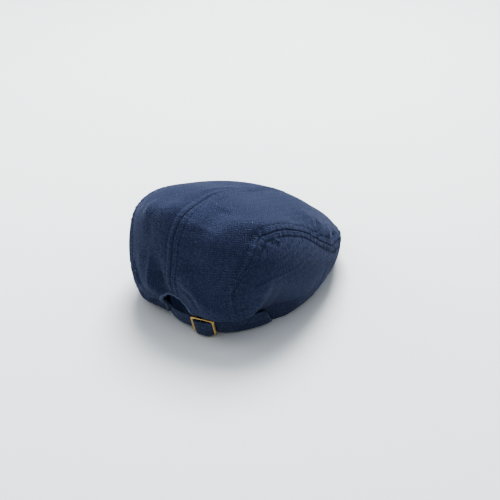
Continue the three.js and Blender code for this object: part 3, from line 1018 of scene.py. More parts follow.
@dataclass
class Shape:
    """Points, faces and cloth places of a mesh that is being built up."""

    points: list[Array] = field(default_factory=list)
    faces: list[Array] = field(default_factory=list)
    places: list[Array] = field(default_factory=list)
    count: int = 0

    def add(self, points: Array, faces: Array | None = None, places: Array | None = None) -> int:
        """Adds a patch.

        Args:
            points: The patch's points.
            faces: Its triangles or quads, as rows of indices into points.
            places: Where each point lies on the flat cloth, for the weave.

        Returns:
            The index of the patch's first point in the whole shape.
        """
        first = self.count
        self.points.append(points)
        self.places.append(np.zeros((len(points), 2)) if places is None else places)
        self.count += len(points)
        if faces is not None:
            self.join(faces + first)
        return first

    def join(self, faces: Array) -> None:
        """Adds faces between points that are already there."""
        self.faces.append(faces)

    def merge(self, other: Shape) -> None:
        """Takes over another shape's points, faces and cloth places."""
        first = self.add(np.vstack(other.points), None, np.vstack(other.places))
        self.faces.extend(block + first for block in other.faces)

    def build(self, name: str, finish: bpy.types.Material) -> bpy.types.Object:
        """Makes the object.

        Args:
            name: The piece's name.
            finish: Its material.

        Returns:
            The new object, in the scene.
        """
        faces = [row for block in self.faces for row in block.tolist()]
        mesh = bpy.data.meshes.new(name)
        mesh.from_pydata(np.vstack(self.points).tolist(), [], faces)
        corners = np.empty(len(mesh.loops), np.int32)
        mesh.loops.foreach_get("vertex_index", corners)
        places = np.vstack(self.places)[corners].astype(np.float32)
        mesh.uv_layers.new(name="weave").uv.foreach_set("vector", places.ravel())
        mesh.polygons.foreach_set("use_smooth", np.ones(len(mesh.polygons), bool))
        mesh.materials.append(finish)
        mesh.update()
        return placed(name, mesh)


def tube_faces(sections: int, corners: int, closed: bool) -> Array:
    """The quads between neighbouring sections of a tube.

    Args:
        sections: How many sections there are.
        corners: How many points are in each.
        closed: Joins the last section to the first.

    Returns:
        The quads, facing along sections cross corners.
    """
    rows = np.arange(sections if closed else sections - 1)
    row, column = np.meshgrid(rows, np.arange(corners), indexing="ij")
    next_row, next_column = (row + 1) % sections, (column + 1) % corners
    a, b = row * corners + column, next_row * corners + column
    c, d = next_row * corners + next_column, row * corners + next_column
    return np.stack([a, b, c, d], axis=-1).reshape(-1, 4)


def swept(sections: Array, places: Array | None = None, closed: bool = False) -> Shape:
    """A solid through a row of closed sections.

    Args:
        sections: Points of shape (sections, corners, 3).
        places: Where each point lies on the flat cloth, shape (sections, corners, 2).
        closed: Joins the last section to the first, otherwise both ends are capped.

    Returns:
        The solid.
    """
    count, corners = sections.shape[:2]
    if places is None:
        places = np.zeros((count, corners, 2))
    shape = Shape()
    shape.add(sections.reshape(-1, 3), tube_faces(count, corners, closed), places.reshape(-1, 2))
    if closed:
        return shape
    for end, order in ((0, 1), (count - 1, -1)):
        ring = end * corners + np.arange(corners)[::order]
        hub = shape.add(sections[end].mean(0, keepdims=True), None, places[end].mean(0, keepdims=True))
        shape.join(np.column_stack([np.full(corners, hub), np.roll(ring, -1), ring]))
    return shape


def inside_loop(points: Array, loop: Array) -> Array:
    """Sorts out flat points by a closed loop.

    Args:
        points: The points.
        loop: The loop's corners in order.

    Returns:
        Whether each point lies inside the loop.
    """
    inside = np.zeros(len(points), bool)
    x, y = points.T
    for (x0, y0), (x1, y1) in zip(loop, np.roll(loop, -1, axis=0)):
        crosses = (y0 > y) != (y1 > y)
        if crosses.any():
            at = x0 + (y[crosses] - y0) * (x1 - x0) / (y1 - y0)
            inside[crosses] ^= x[crosses] < at
    return inside


def too_near(points: Array, others: Array, gap: float) -> Array:
    """Finds flat points that crowd others.

    Args:
        points: The points.
        others: The points that they may crowd.
        gap: The least distance that is wanted between them.

    Returns:
        Whether each point lies nearer than the gap to any of the others.
    """
    cells: dict[tuple[int, int], list[int]] = {}
    for index, cell in enumerate(map(tuple, np.floor(others / gap).astype(int).tolist())):
        cells.setdefault(cell, []).append(index)
    answer = np.zeros(len(points), bool)
    neighbours = [(i, j) for i in (-1, 0, 1) for j in (-1, 0, 1)]
    for index, (i, j) in enumerate(np.floor(points / gap).astype(int).tolist()):
        found = [other for di, dj in neighbours for other in cells.get((i + di, j + dj), [])]
        if found:
            answer[index] = ((others[found] - points[index]) ** 2).sum(1).min() < gap * gap
    return answer


def filled_loop(loop: Array, spacing: float, extra: Array) -> tuple[Array, Array]:
    """Fills a flat loop with triangles.

    Args:
        loop: The loop's corners, anticlockwise.
        spacing: The distance between the points inside.
        extra: Points that are wanted inside, where they fit.

    Returns:
        The points, the loop's own first, and the triangles.
    """
    low, high = loop.min(0), loop.max(0)
    row_gap = spacing * math.sqrt(0.75)
    across, along = np.meshgrid(np.arange(low[0], high[0], spacing), np.arange(low[1], high[1], row_gap))
    across[1::2] += spacing / 2
    grid = np.column_stack([across.ravel(), along.ravel()])
    extra = extra[inside_loop(extra, loop)]
    extra = extra[~too_near(extra, loop, LOOP_GAP * spacing)]
    grid = grid[inside_loop(grid, loop)]
    grid = grid[~too_near(grid, np.vstack([loop, extra]), GRID_GAP * spacing)]
    points = np.vstack([loop, extra, grid])
    edges = [(i, (i + 1) % len(loop)) for i in range(len(loop))]
    flat = [Vector(point) for point in points.tolist()]
    _, _, faces, origins, _, _ = delaunay_2d_cdt(flat, edges, [], 1, SAME_PLACE)
    source = np.array([found[0] for found in origins])
    triangles = source[np.asarray(faces)]
    a, b, c = (points[triangles[:, k]] for k in range(3))
    turn = (b[:, 0] - a[:, 0]) * (c[:, 1] - a[:, 1]) - (b[:, 1] - a[:, 1]) * (c[:, 0] - a[:, 0])
    triangles[turn < 0] = triangles[turn < 0][:, ::-1]
    return points, triangles


# ---------- finishes ----------


@dataclass(frozen=True)
class Grain:
    """How fine and how rough an uneven pattern is."""

    scale: float
    detail: float
    rough: float


class Graph:
    """A small helper that wires the nodes of a material or of the room's light."""

    def __init__(self, owner: bpy.types.Material | bpy.types.World, shader: str = "Principled BSDF") -> None:
        """Finds the shader.

        Args:
            owner: The material or the world that is wired.
            shader: The name of its shader node.
        """
        owner.use_nodes = True
        self.owner = owner
        self.nodes = owner.node_tree.nodes
        self.links = owner.node_tree.links
        self.shader = self.nodes[shader]

    def put(self, socket: Socket, value: Value) -> None:
        """Sets a socket to a constant, or links it to an output.

        Args:
            socket: The socket.
            value: What goes into it. None leaves it as it is.
        """
        if isinstance(value, bpy.types.NodeSocket):
            self.links.new(value, socket)
        elif value is not None:
            socket.default_value = value

    def node(self, kind: str, inputs: dict[str | int, Value], **options: str) -> bpy.types.Node:
        """Adds a node.

        Args:
            kind: Its type, without the words that all of them start with.
            inputs: What goes into its sockets, by their names or numbers.
            **options: Its own options.

        Returns:
            The node.
        """
        node = self.nodes.new(f"ShaderNode{kind}")
        for name, option in options.items():
            setattr(node, name, option)
        for key, value in inputs.items():
            self.put(node.inputs[key], value)
        return node

    def math(self, operation: str, *values: Value) -> Socket:
        """A Math node's result."""
        return self.node("Math", dict(enumerate(values)), operation=operation).outputs[0]

    def noise(self, place: Socket, grain: Grain) -> Socket:
        """A Noise node's value."""
        inputs = {"Vector": place, "Scale": grain.scale, "Detail": grain.detail, "Roughness": grain.rough}
        return self.node("TexNoise", inputs).outputs["Fac"]

    def spread(self, value: Value, span: Flat, onto: Flat = WHOLE) -> Socket:
        """The value moved from one span onto another, and held inside it."""
        return self.node("MapRange", dict(enumerate((value, *span, *onto)))).outputs[0]

    def blend(self, factor: Value, first: Value, second: Value) -> Socket:
        """A colour between two colours."""
        return self.node("Mix", {0: factor, 6: first, 7: second}, data_type="RGBA").outputs[2]

    def bump(self, height: Socket, strength: float, distance: float, below: Value = None) -> Socket:
        """A Bump node's normal, on top of another one."""
        inputs = {"Strength": strength, "Distance": distance, "Height": height, "Normal": below}
        return self.node("Bump", inputs).outputs[0]

    def on_weave(self) -> Socket:
        """Places on the flat cloth."""
        return self.node("UVMap", {}, uv_map="weave").outputs[0]

    def on_piece(self) -> Socket:
        """The piece's own coordinates."""
        return self.node("TexCoord", {}).outputs["Object"]

    def dress(self, inputs: dict[str, Value]) -> bpy.types.Material:
        """Sets the shader's own sockets.

        Args:
            inputs: What goes into them, by their names.

        Returns:
            The finished material.
        """
        for name, value in inputs.items():
            self.put(self.shader.inputs[name], value)
        return self.owner


def shaded(colour: Colour, share: float) -> Colour:
    """A darker form of a colour."""
    return tuple(share * part for part in colour[:3]) + (1.0,)


@dataclass(frozen=True)
class HerringboneCloth:
    """Navy cotton in a herringbone twill, with a little fuzz and lint.

    The ribs slant one way in one column and the other way in the next. They waver a little, break up here and
    there, and wear paler in clouds.
    """

    name: str = "navy_herringbone"
    dark: Colour = (0.0260, 0.0345, 0.072, 1.0)
    light: Colour = (0.070, 0.083, 0.149, 1.0)
    rib: float = 0.0024
    column: float = 0.0045
    rib_span: Flat = (-0.9, 0.9)
    rib_contrast: float = 0.8
    rib_height: float = 0.00058
    waver: float = 0.0022
    waver_grain: Grain = Grain(160.0, 4.0, 0.65)
    broken_grain: Grain = Grain(420.0, 3.0, 0.65)
    broken_span: Flat = (0.36, 0.62)
    broken_ribs: Flat = (0.1, 1.0)
    cloud_grain: Grain = Grain(42.0, 3.0, 0.55)
    wear_span: Flat = (0.3, 0.7)
    wear: Flat = (-0.05, 0.07)
    fuzz_grain: Grain = Grain(900.0, 3.0, 0.7)
    fuzz_strength: float = 0.3
    fuzz_height: float = 0.0003
    lint: Colour = (0.30, 0.36, 0.46, 1.0)
    lint_scale: float = 135.0
    lint_size: float = 0.085
    lint_missing: float = 0.8
    lint_strength: float = 0.42
    rough_span: Flat = (0.2, 0.8)
    roughness: Flat = (0.87, 1.0)
    specular: float = 0.18
    sheen: float = 0.16
    sheen_roughness: float = 0.4
    sheen_tint: Colour = (0.62, 0.7, 0.95, 1.0)

    def _yarn(self, graph: Graph, place: Socket) -> Socket:
        """Draws the ribs.

        Args:
            graph: The material's nodes.
            place: The piece's own coordinates.

        Returns:
            The ribs' height, from 0 to 1.
        """
        flat = graph.node("SeparateXYZ", {0: graph.on_weave()}).outputs
        uneven = graph.math("SUBTRACT", graph.noise(place, self.waver_grain), 0.5)
        waver = graph.math("MULTIPLY", uneven, self.waver)
        across = graph.math("ADD", flat[0], waver)
        along = graph.math("ADD", flat[1], waver)
        slant = graph.math("ADD", along, graph.math("PINGPONG", across, self.column))
        wave = graph.math("SINE", graph.math("MULTIPLY", slant, TURN / self.rib))
        broken = graph.spread(graph.noise(place, self.broken_grain), self.broken_span, self.broken_ribs)
        return graph.math("MULTIPLY", graph.spread(wave, self.rib_span), broken)

    def _specks(self, graph: Graph, place: Socket) -> Socket:
        """Scatters the lint.

        Args:
            graph: The material's nodes.
            place: The piece's own coordinates.

        Returns:
            How much lint lies at a place.
        """
        inputs = {"Vector": place, "Scale": self.lint_scale}
        specks = graph.node("TexVoronoi", inputs, feature="F1").outputs
        small = graph.math("LESS_THAN", specks["Distance"], self.lint_size)
        draw = graph.node("SeparateColor", {0: specks["Color"]}).outputs[0]
        chosen = graph.math("GREATER_THAN", draw, self.lint_missing)
        return graph.math("MULTIPLY", graph.math("MULTIPLY", small, chosen), self.lint_strength)

    def make(self) -> bpy.types.Material:
        """Builds the material.

        Returns:
            The material.
        """
        graph = Graph(bpy.data.materials.new(self.name))
        place = graph.on_piece()
        yarn = self._yarn(graph, place)
        cloud = graph.noise(place, self.cloud_grain)
        worn = graph.spread(cloud, self.wear_span, self.wear)
        ribs = graph.math("MULTIPLY", yarn, self.rib_contrast)
        tone = graph.spread(graph.math("ADD", ribs, worn), WHOLE)
        colour = graph.blend(tone, self.dark, self.light)
        fuzz = graph.bump(graph.noise(place, self.fuzz_grain), self.fuzz_strength, self.fuzz_height)
        return graph.dress(
            {
                "Base Color": graph.blend(self._specks(graph, place), colour, self.lint),
                "Roughness": graph.spread(cloud, self.rough_span, self.roughness),
                "Specular IOR Level": self.specular,
                "Sheen Weight": self.sheen,
                "Sheen Roughness": self.sheen_roughness,
                "Sheen Tint": self.sheen_tint,
                "Normal": graph.bump(yarn, 1.0, self.rib_height, fuzz),
            }
        )


@dataclass(frozen=True)
class Thread:
    """Twisted sewing thread."""

    name: str
    colour: Colour
    grain: Grain = Grain(700.0, 2.0, 0.5)
    twist_span: Flat = (0.3, 0.7)
    shade: float = 0.55
    roughness: Flat = (0.6, 0.75)
    sheen: float = 0.2
    twist_strength: float = 0.5
    twist_height: float = 0.0002

    def make(self) -> bpy.types.Material:
        """Builds the material.

        Returns:
            The material.
        """
        graph = Graph(bpy.data.materials.new(self.name))
        twist = graph.spread(graph.noise(graph.on_piece(), self.grain), self.twist_span)
        return graph.dress(
            {
                "Base Color": graph.blend(twist, shaded(self.colour, self.shade), self.colour),
                "Roughness": graph.spread(twist, WHOLE, self.roughness),
                "Sheen Weight": self.sheen,
                "Normal": graph.bump(twist, self.twist_strength, self.twist_height),
            }
        )


@dataclass(frozen=True)
class PolishedBrass:
    """Cast brass, polished, with a few dull places."""

    name: str = "polished_brass"
    bright: Colour = (0.95, 0.70, 0.33, 1.0)
    dull: Colour = (0.62, 0.38, 0.12, 1.0)
    roughness: Flat = (0.24, 0.42)
    tarnish_grain: Grain = Grain(190.0, 4.0, 0.6)
    tarnish_span: Flat = (0.42, 0.75)
    scratch_grain: Grain = Grain(900.0, 2.0, 0.5)
    scratch_strength: float = 0.12
    scratch_height: float = 0.0001

    def make(self) -> bpy.types.Material:
        """Builds the material.

        Returns:
            The material.
        """
        graph = Graph(bpy.data.materials.new(self.name))
        place = graph.on_piece()
        tarnish = graph.spread(graph.noise(place, self.tarnish_grain), self.tarnish_span)
        scratches = graph.noise(place, self.scratch_grain)
        return graph.dress(
            {
                "Base Color": graph.blend(tarnish, self.bright, self.dull),
                "Metallic": 1.0,
                "Roughness": graph.spread(tarnish, WHOLE, self.roughness),
                "Normal": graph.bump(scratches, self.scratch_strength, self.scratch_height),
            }
        )


@dataclass(frozen=True)
class PaleFloor:
    """A matt, pale grey studio floor."""

    name: str = "pale_floor"
    colour: Colour = (0.78, 0.79, 0.79, 1.0)
    shade: float = 0.97
    grain: Grain = Grain(3.0, 2.0, 0.5)
    roughness: float = 0.85
    specular: float = 0.2

    def make(self) -> bpy.types.Material:
        """Builds the material.

        Returns:
            The material.
        """
        graph = Graph(bpy.data.materials.new(self.name))
        mottle = graph.noise(graph.on_piece(), self.grain)
        return graph.dress(
            {
                "Base Color": graph.blend(mottle, self.colour, shaded(self.colour, self.shade)),
                "Roughness": self.roughness,
                "Specular IOR Level": self.specular,
            }
        )


CROWN_CLOTH = HerringboneCloth()
# The binding's paler colours are partly wear and partly a painted highlight for the light that the arch's
# rolled edge catches.
BINDING_WEAR_AND_HIGHLIGHT_CLOTH = HerringboneCloth("binding_wear_and_painted_highlight", (0.06, 0.08, 0.13, 1.0), (0.13, 0.157, 0.225, 1.0))
# The strap is the crown's navy cloth made lighter: painted light for the strap, which lies in shade under the
# crown's overhang.
STRAP_CLOTH_PAINTED_LIGHT = HerringboneCloth("strap_navy_painted_light", (0.030, 0.041, 0.080, 1.0), (0.092, 0.110, 0.185, 1.0))
SEAM_THREAD = Thread("navy_thread", (0.05, 0.085, 0.17, 1.0))
STRAP_END_THREAD = Thread("pale_thread", (0.22, 0.28, 0.38, 1.0))


# ---------- the panels ----------


@dataclass
class WeaveMap:
    """Where each place on the disc lies on the flat cloth that the panel is cut from."""

    form: CrownForm
    steps: int = 161
    rising_steps: int = 90
    curve_from_y: float = 0.045
    curve_rate: float = 4.6
    ring_reach: float = 0.8

    def __post_init__(self) -> None:
        """Measures the crown along and across, and curves the flat panel's centre edge round the back."""
        smooth = self.form.smooth
        self.line = np.linspace(-1.0, 1.0, self.steps)
        middle = smooth(np.column_stack([np.zeros(self.steps), self.line]))
        along = lengths_along(middle)
        start = np.interp(self.curve_from_y, middle[: self.rising_steps, 1], along[: self.rising_steps])
        self.turning = self.curve_rate * np.maximum(0.0, along - start)
        step = np.diff(along, prepend=0.0)
        sideways, backwards = np.sin(self.turning) * step, np.cos(self.turning) * step
        self.edge = np.column_stack([np.cumsum(sideways), np.cumsum(backwards)])
        self.shares = np.linspace(0.0, 1.0, self.steps)
        rows = []
        for q in self.line:
            reach = np.maximum(np.hypot(self.shares, q), 1.0)
            rows.append(lengths_along(smooth(np.column_stack([self.shares / reach, q / reach]))))
        self.across = np.array(rows)
        self.turn = np.linspace(-math.pi, math.pi, self.steps)
        self.round = lengths_along(smooth(self.ring_reach * on_circle(self.turn)))
        self.rise = lengths_along(smooth(np.column_stack([self.shares, np.zeros(self.steps)])))

    def top(self, disc: Array) -> Array:
        """Lays places of the top panels flat, out from the curved centre edge.

        Args:
            disc: The places on the disc.

        Returns:
            Their flat places.
        """
        last = self.steps - 1
        row = np.clip((disc[:, 1] + 1.0) / 2.0 * last, 0, last - 0.001)
        column = np.clip(np.abs(disc[:, 0]) * last, 0, last - 0.001)
        i, j = row.astype(int), column.astype(int)
        s, t = row - i, column - j
        across = (1 - s) * ((1 - t) * self.across[i, j] + t * self.across[i, j + 1])
        across += s * ((1 - t) * self.across[i + 1, j] + t * self.across[i + 1, j + 1])
        edge = np.column_stack([np.interp(disc[:, 1], self.line, values) for values in self.edge.T])
        turning = np.interp(disc[:, 1], self.line, self.turning)
        flat = edge + across[:, None] * np.column_stack([np.cos(turning), -np.sin(turning)])
        return flat * np.column_stack([np.sign(disc[:, 0] + TINY), np.ones(len(disc))])

    def side(self, disc: Array) -> Array:
        """Lays places of the side panels flat, along the hem and up from it.

        Args:
            disc: The places on the disc.

        Returns:
            Their flat places.
        """
        round_hem = np.interp(np.arctan2(disc[:, 1], np.abs(disc[:, 0])), self.turn, self.round)
        up = np.interp(reach_of(disc), self.shares, self.rise)
        return np.column_stack([up, round_hem])


@dataclass
class Crown:
    """The four cloth panels of the crown.

    Two rows of stitches run below each side seam, and a third above it towards the front.
    """

    form: CrownForm
    pattern: Pattern
    cloth: bpy.types.Material
    spacing: float = 0.0058
    inner_spacing: float = 0.013
    edge_spacing: float = 0.0009
    line_steps: int = 400
    hem_round: float = 0.0006
    hem_reach: float = 0.9995
    collar_offsets: tuple[float, ...] = (0.0006, 0.0012, 0.0019, 0.0027, 0.0036, 0.0046)
    centre_seed: int = 11
    centre_rows: tuple[StitchRow, ...] = (StitchRow(0.0046), StitchRow(-0.0046))
    side_seed: int = 23
    side_pucker: float = 0.00042
    side_rows_below: tuple[StitchRow, ...] = (StitchRow(0.0034), StitchRow(0.0066), StitchRow(-0.003, 0.62))

    def __post_init__(self) -> None:
        """Makes the seams."""
        arch_top = self.pattern.arch[np.abs(self.pattern.arch[:, 0]).argmin()]
        q = np.linspace(arch_top[1], -1.0, self.line_steps)
        centre = np.column_stack([np.zeros_like(q), q])
        self.centre_seam = Seam(self.form, centre, self.centre_seed, self.centre_rows)
        self.side_seams = {side: self._side_seam(side) for side in Side}
        self.seams = [self.centre_seam, *self.side_seams.values()]
        self.weave = WeaveMap(self.form)

    def _side_seam(self, side: Side) -> Seam:
        """Makes a side seam.

        Args:
            side: Which half of the cap it is on.

        Returns:
            The seam.
        """
        below = -side.value
        rows = tuple(StitchRow(row.offset * below, row.start, row.end) for row in self.side_rows_below)
        line = self.pattern.side_seam[side]
        return Seam(self.form, line, self.side_seed + side.value, rows, pucker=self.side_pucker)

    def relief(self, points: Array) -> Array:
        """How far the seams raise the cloth at points."""
        return sum(seam.relief(points) for seam in self.seams)

    def finished(self, disc: Array, depth: float = 0.0) -> Array:
        """The cloth with its seam relief, depth below its outer face."""
        points = self.form.cloth(disc, depth)
        return points + self.form.normal(disc) * self.relief(points)[:, None]

    def edge_line(self, disc: Array) -> Array:
        """A line on the disc with its places at even steps over the cloth."""
        return evenly_spaced(self.form.cloth(disc), disc, self.edge_spacing)

    def _hem(self, start: Array, end: Array, side: Side) -> Array:
        """Follows the hem between two places on it.

        Args:
            start: The first place on the disc.
            end: The last one.
            side: Which half of the cap it is on: the left half's hem runs clockwise.

        Returns:
            The hem on the disc.
        """
        a, b = math.atan2(start[1], start[0]), math.atan2(end[1], end[0])
        if side is Side.LEFT and b > a:
            b -= TURN
        if side is Side.RIGHT and b < a:
            b += TURN
        return self.edge_line(on_circle(np.linspace(a, b, self.line_steps)))

    @staticmethod
    def _loop(*lines: Array) -> Array:
        """Joins lines end to end.

        Args:
            *lines: The lines in order, each one ending where the next starts.

        Returns:
            One anticlockwise loop.
        """
        loop = np.vstack([line[:-1] for line in lines])
        x, y = loop.T
        area = (x * np.roll(y, -1) - np.roll(x, -1) * y).sum()
        return loop if area > 0 else loop[::-1]

    def _sheet(self, name: str, loop: Array, lay_flat: Map, seams: list[Seam]) -> bpy.types.Object:
        """Makes one panel as a closed sheet.

        Args:
            name: The panel's name.
            loop: The panel's edge on the disc.
            lay_flat: Gives the flat cloth's places for disc places.
            seams: The seams that the panel meets.

        Returns:
            The panel.
        """
        offsets = [sign * offset for offset in self.collar_offsets for sign in (1, -1)]
        collars = np.vstack([seam.moved(offset) for seam in seams for offset in offsets])
        outer, outer_faces = filled_loop(loop, self.spacing, collars)
        inner, inner_faces = filled_loop(loop, self.inner_spacing, np.empty((0, 2)))
        outside = self.finished(outer)
        inside = self.finished(inner, self.form.wall)
        edge = len(loop)
        middle = (outside[:edge] + inside[:edge]) / 2
        on_hem = np.flatnonzero(reach_of(loop) > self.hem_reach)
        outside[on_hem, 2] += self.hem_round
        inside[on_hem, 2] += self.hem_round
        shape = Shape()
        first_out = shape.add(outside, outer_faces, lay_flat(outer))
        first_in = shape.add(inside, inner_faces[:, ::-1], lay_flat(inner))
        first_mid = shape.add(middle, None, lay_flat(loop))
        here = np.arange(edge)
        following = (here + 1) % edge
        for above, below in ((first_out, first_mid), (first_mid, first_in)):
            shape.join(np.column_stack([above + here, below + here, below + following, above + following]))
        return shape.build(f"{name}_cloth", self.cloth)

    def build(self) -> dict[str, bpy.types.Object]:
        """Makes the four panels.

        Returns:
            The panels, by the names of the plain solids that they replace.
        """
        pieces: dict[str, bpy.types.Object] = {}
        centre = self.centre_seam.disc
        arch = self.edge_line(self.pattern.arch)
        top = int(np.abs(arch[:, 0]).argmin())
        arch[top] = centre[0]
        arch_edges = {Side.LEFT: arch[: top + 1][::-1], Side.RIGHT: arch[top:]}
        front = np.array([0.0, -1.0])
        for side, arch_edge in arch_edges.items():
            side_seam = self.side_seams[side]
            seam = side_seam.disc
            back_hem = self._hem(arch_edge[-1], seam[0], side)
            front_hem = self._hem(seam[-1], front, side)
            loop = self._loop(centre[::-1], arch_edge, back_hem, seam, front_hem)
            name = f"crown_top_{side.label}"
            pieces[name] = self._sheet(name, loop, self.weave.top, [self.centre_seam, side_seam])
            loop = self._loop(self._hem(seam[0], seam[-1], side), seam[::-1])
            name = f"side_panel_{side.label}"
            pieces[name] = self._sheet(name, loop, self.weave.side, [side_seam])
        return pieces


@dataclass
class Stitching:
    """Rows of small raised stitches, joined into one mesh.

    profile gives a stitch's shape as shares of its half length and of its radius.
    """

    length: float = 0.0023
    pitch: float = 0.0031
    radius: float = 0.00026
    lift: float = 0.00012
    unevenness: float = 0.00008
    flatness: float = 0.8
    end_sink: float = 1.1
    corners: int = 6
    profile: tuple[Flat, ...] = ((-1.0, 0.25), (-0.7, 0.8), (0.0, 1.0), (0.7, 0.8), (1.0, 0.25))
    shape: Shape = field(default_factory=Shape)

    def row(self, line: Array, normals: Array) -> None:
        """Sews a row.

        Args:
            line: Points along the row, on the cloth.
            normals: The cloth's outward direction at each of them.
        """
        length = lengths_along(line)
        count = int(length[-1] / self.pitch)
        random = np.random.default_rng(count)
        turn = full_turn(self.corners)[:, None]
        for number in range(count):
            middle = (number + 0.5) * self.pitch + random.normal(0.0, self.unevenness)
            marks = middle + np.array([-1, 0, 1]) * self.length / 2
            start, centre, end = np.column_stack([np.interp(marks, length, column) for column in line.T])
            normal = unit(np.array([np.interp(middle, length, column) for column in normals.T]))
            along = unit(end - start)
            ring = np.cos(turn) * np.cross(normal, along) + self.flatness * np.sin(turn) * normal
            rings = []
            for place, size in self.profile:
                sink = self.radius * self.end_sink * place * place
                hub = centre + along * place * self.length / 2 + normal * (self.lift - sink)
                rings.append(hub + ring * self.radius * size)
            self.shape.merge(swept(np.array(rings)))


# ---------- the trims ----------


@dataclass
class Peak:
    """The stiff peak, covered in the cap's cloth, with a rolled front edge."""

    form: PeakForm
    cloth: bpy.types.Material
    around: int = 220
    deep: int = 44
    round_steps: int = 8

    def _edges(self, turn: float) -> tuple[Array, Array]:
        """Finds a place round the crescent.

        Args:
            turn: The angle round it, from its left corner to its right one.

        Returns:
            The flat places on its inner edge and on its outer one.
        """
        form, across, forward = self.form, math.cos(turn), math.sin(turn)
        inner = np.array([form.inner_half_width * across, form.corner_y - form.inner_depth * forward])
        outer = np.array([form.half_width * across, form.corner_y - form.depth * forward])
        return inner, outer

    def build(self) -> bpy.types.Object:
        """Makes the peak as one swept solid.

        Returns:
            The peak.
        """
        form = self.form
        shares = np.linspace(0.0, 1.0, self.deep)[:, None]
        half = form.thickness / 2
        turns = np.linspace(-math.pi / 2, math.pi / 2, self.round_steps + 2)[1:-1]
        sections = []
        for turn in np.linspace(0.0, math.pi, self.around):
            inner, outer = self._edges(turn)
            width = np.linalg.norm(outer - inner)
            outward = (outer - inner) / max(width, TINY)
            inset = min(half, width / 4)
            flat = inner + outward * (inset + shares * (width - 2 * inset))
            lift = form.top(flat[:, 0], flat[:, 1])
            top = np.column_stack([flat, lift])
            bottom = np.column_stack([flat, lift - form.thickness])
            rim = flat[-1] + outward * inset * np.cos(turns)[::-1, None]
            edge = np.column_stack([rim, lift[-1] - half + half * np.sin(turns)[::-1]])
            root = flat[0] - outward * inset * np.cos(turns)[:, None]
            back = np.column_stack([root, lift[0] - half + half * np.sin(turns)])
            sections.append(np.vstack([top, edge, bottom[::-1], back]))
        solid = np.array(sections)[::-1]
        return swept(solid, solid[..., :2]).build("peak_cloth", self.cloth)


@dataclass
class Binding:
    """The soft bound edge of the arch, in a paler cloth: its lighter colour is partly wear and partly a
    painted highlight for the light that the rolled edge catches.
    """

    crown: Crown
    cloth: bpy.types.Material
    half_width: float = 0.0022
    half_thickness: float = 0.0023
    spacing: float = 0.0006
    corners: int = 18
    foot_lift: float = 0.0042
    swell: float = 0.10
    swell_pitch: float = 0.006
    swell_seed: int = 5
    end_size: float = 0.35
    end_length: float = 0.0012

    def line(self) -> tuple[Array, Array]:
        """Follows the arch.

        Returns:
            The binding's middle line and the cloth's outward direction along it.
        """
        form, arch = self.crown.form, self.crown.pattern.arch
        disc = evenly_spaced(form.cloth(arch), arch, self.spacing)
        points = self.crown.finished(disc, form.wall / 2)
        keep = points[:, 2] > self.foot_lift
        return points[keep], form.normal(disc)[keep]

    def build(self) -> bpy.types.Object:
        """Makes the binding as a swept tube that wraps the arch's edge.

        Returns:
            The binding.
        """
        points, normals = self.line()
        along = unit(np.gradient(points, axis=0))
        normals = unit(normals - (normals * along).sum(1, keepdims=True) * along)
        across = np.cross(along, normals)
        length = lengths_along(points)
        swell = 1.0 + self.swell * ripple(length, self.swell_pitch, self.swell_seed)
        from_end = np.minimum(length, length[-1] - length)
        ends = np.minimum(1.0, from_end / self.end_length + self.end_size)
        turn = full_turn(self.corners)
        wide = (self.half_width * swell * ends)[:, None, None]
        thick = (self.half_thickness * swell * ends)[:, None, None]
        ring = across[:, None, :] * np.cos(turn)[None, :, None] * wide
        ring = ring + normals[:, None, :] * np.sin(turn)[None, :, None] * thick
        places = np.stack(np.broadcast_arrays((turn * self.half_width)[None], length[:, None]), axis=2)
        return swept(points[:, None, :] + ring, places).build("arch_binding_cloth", self.cloth)


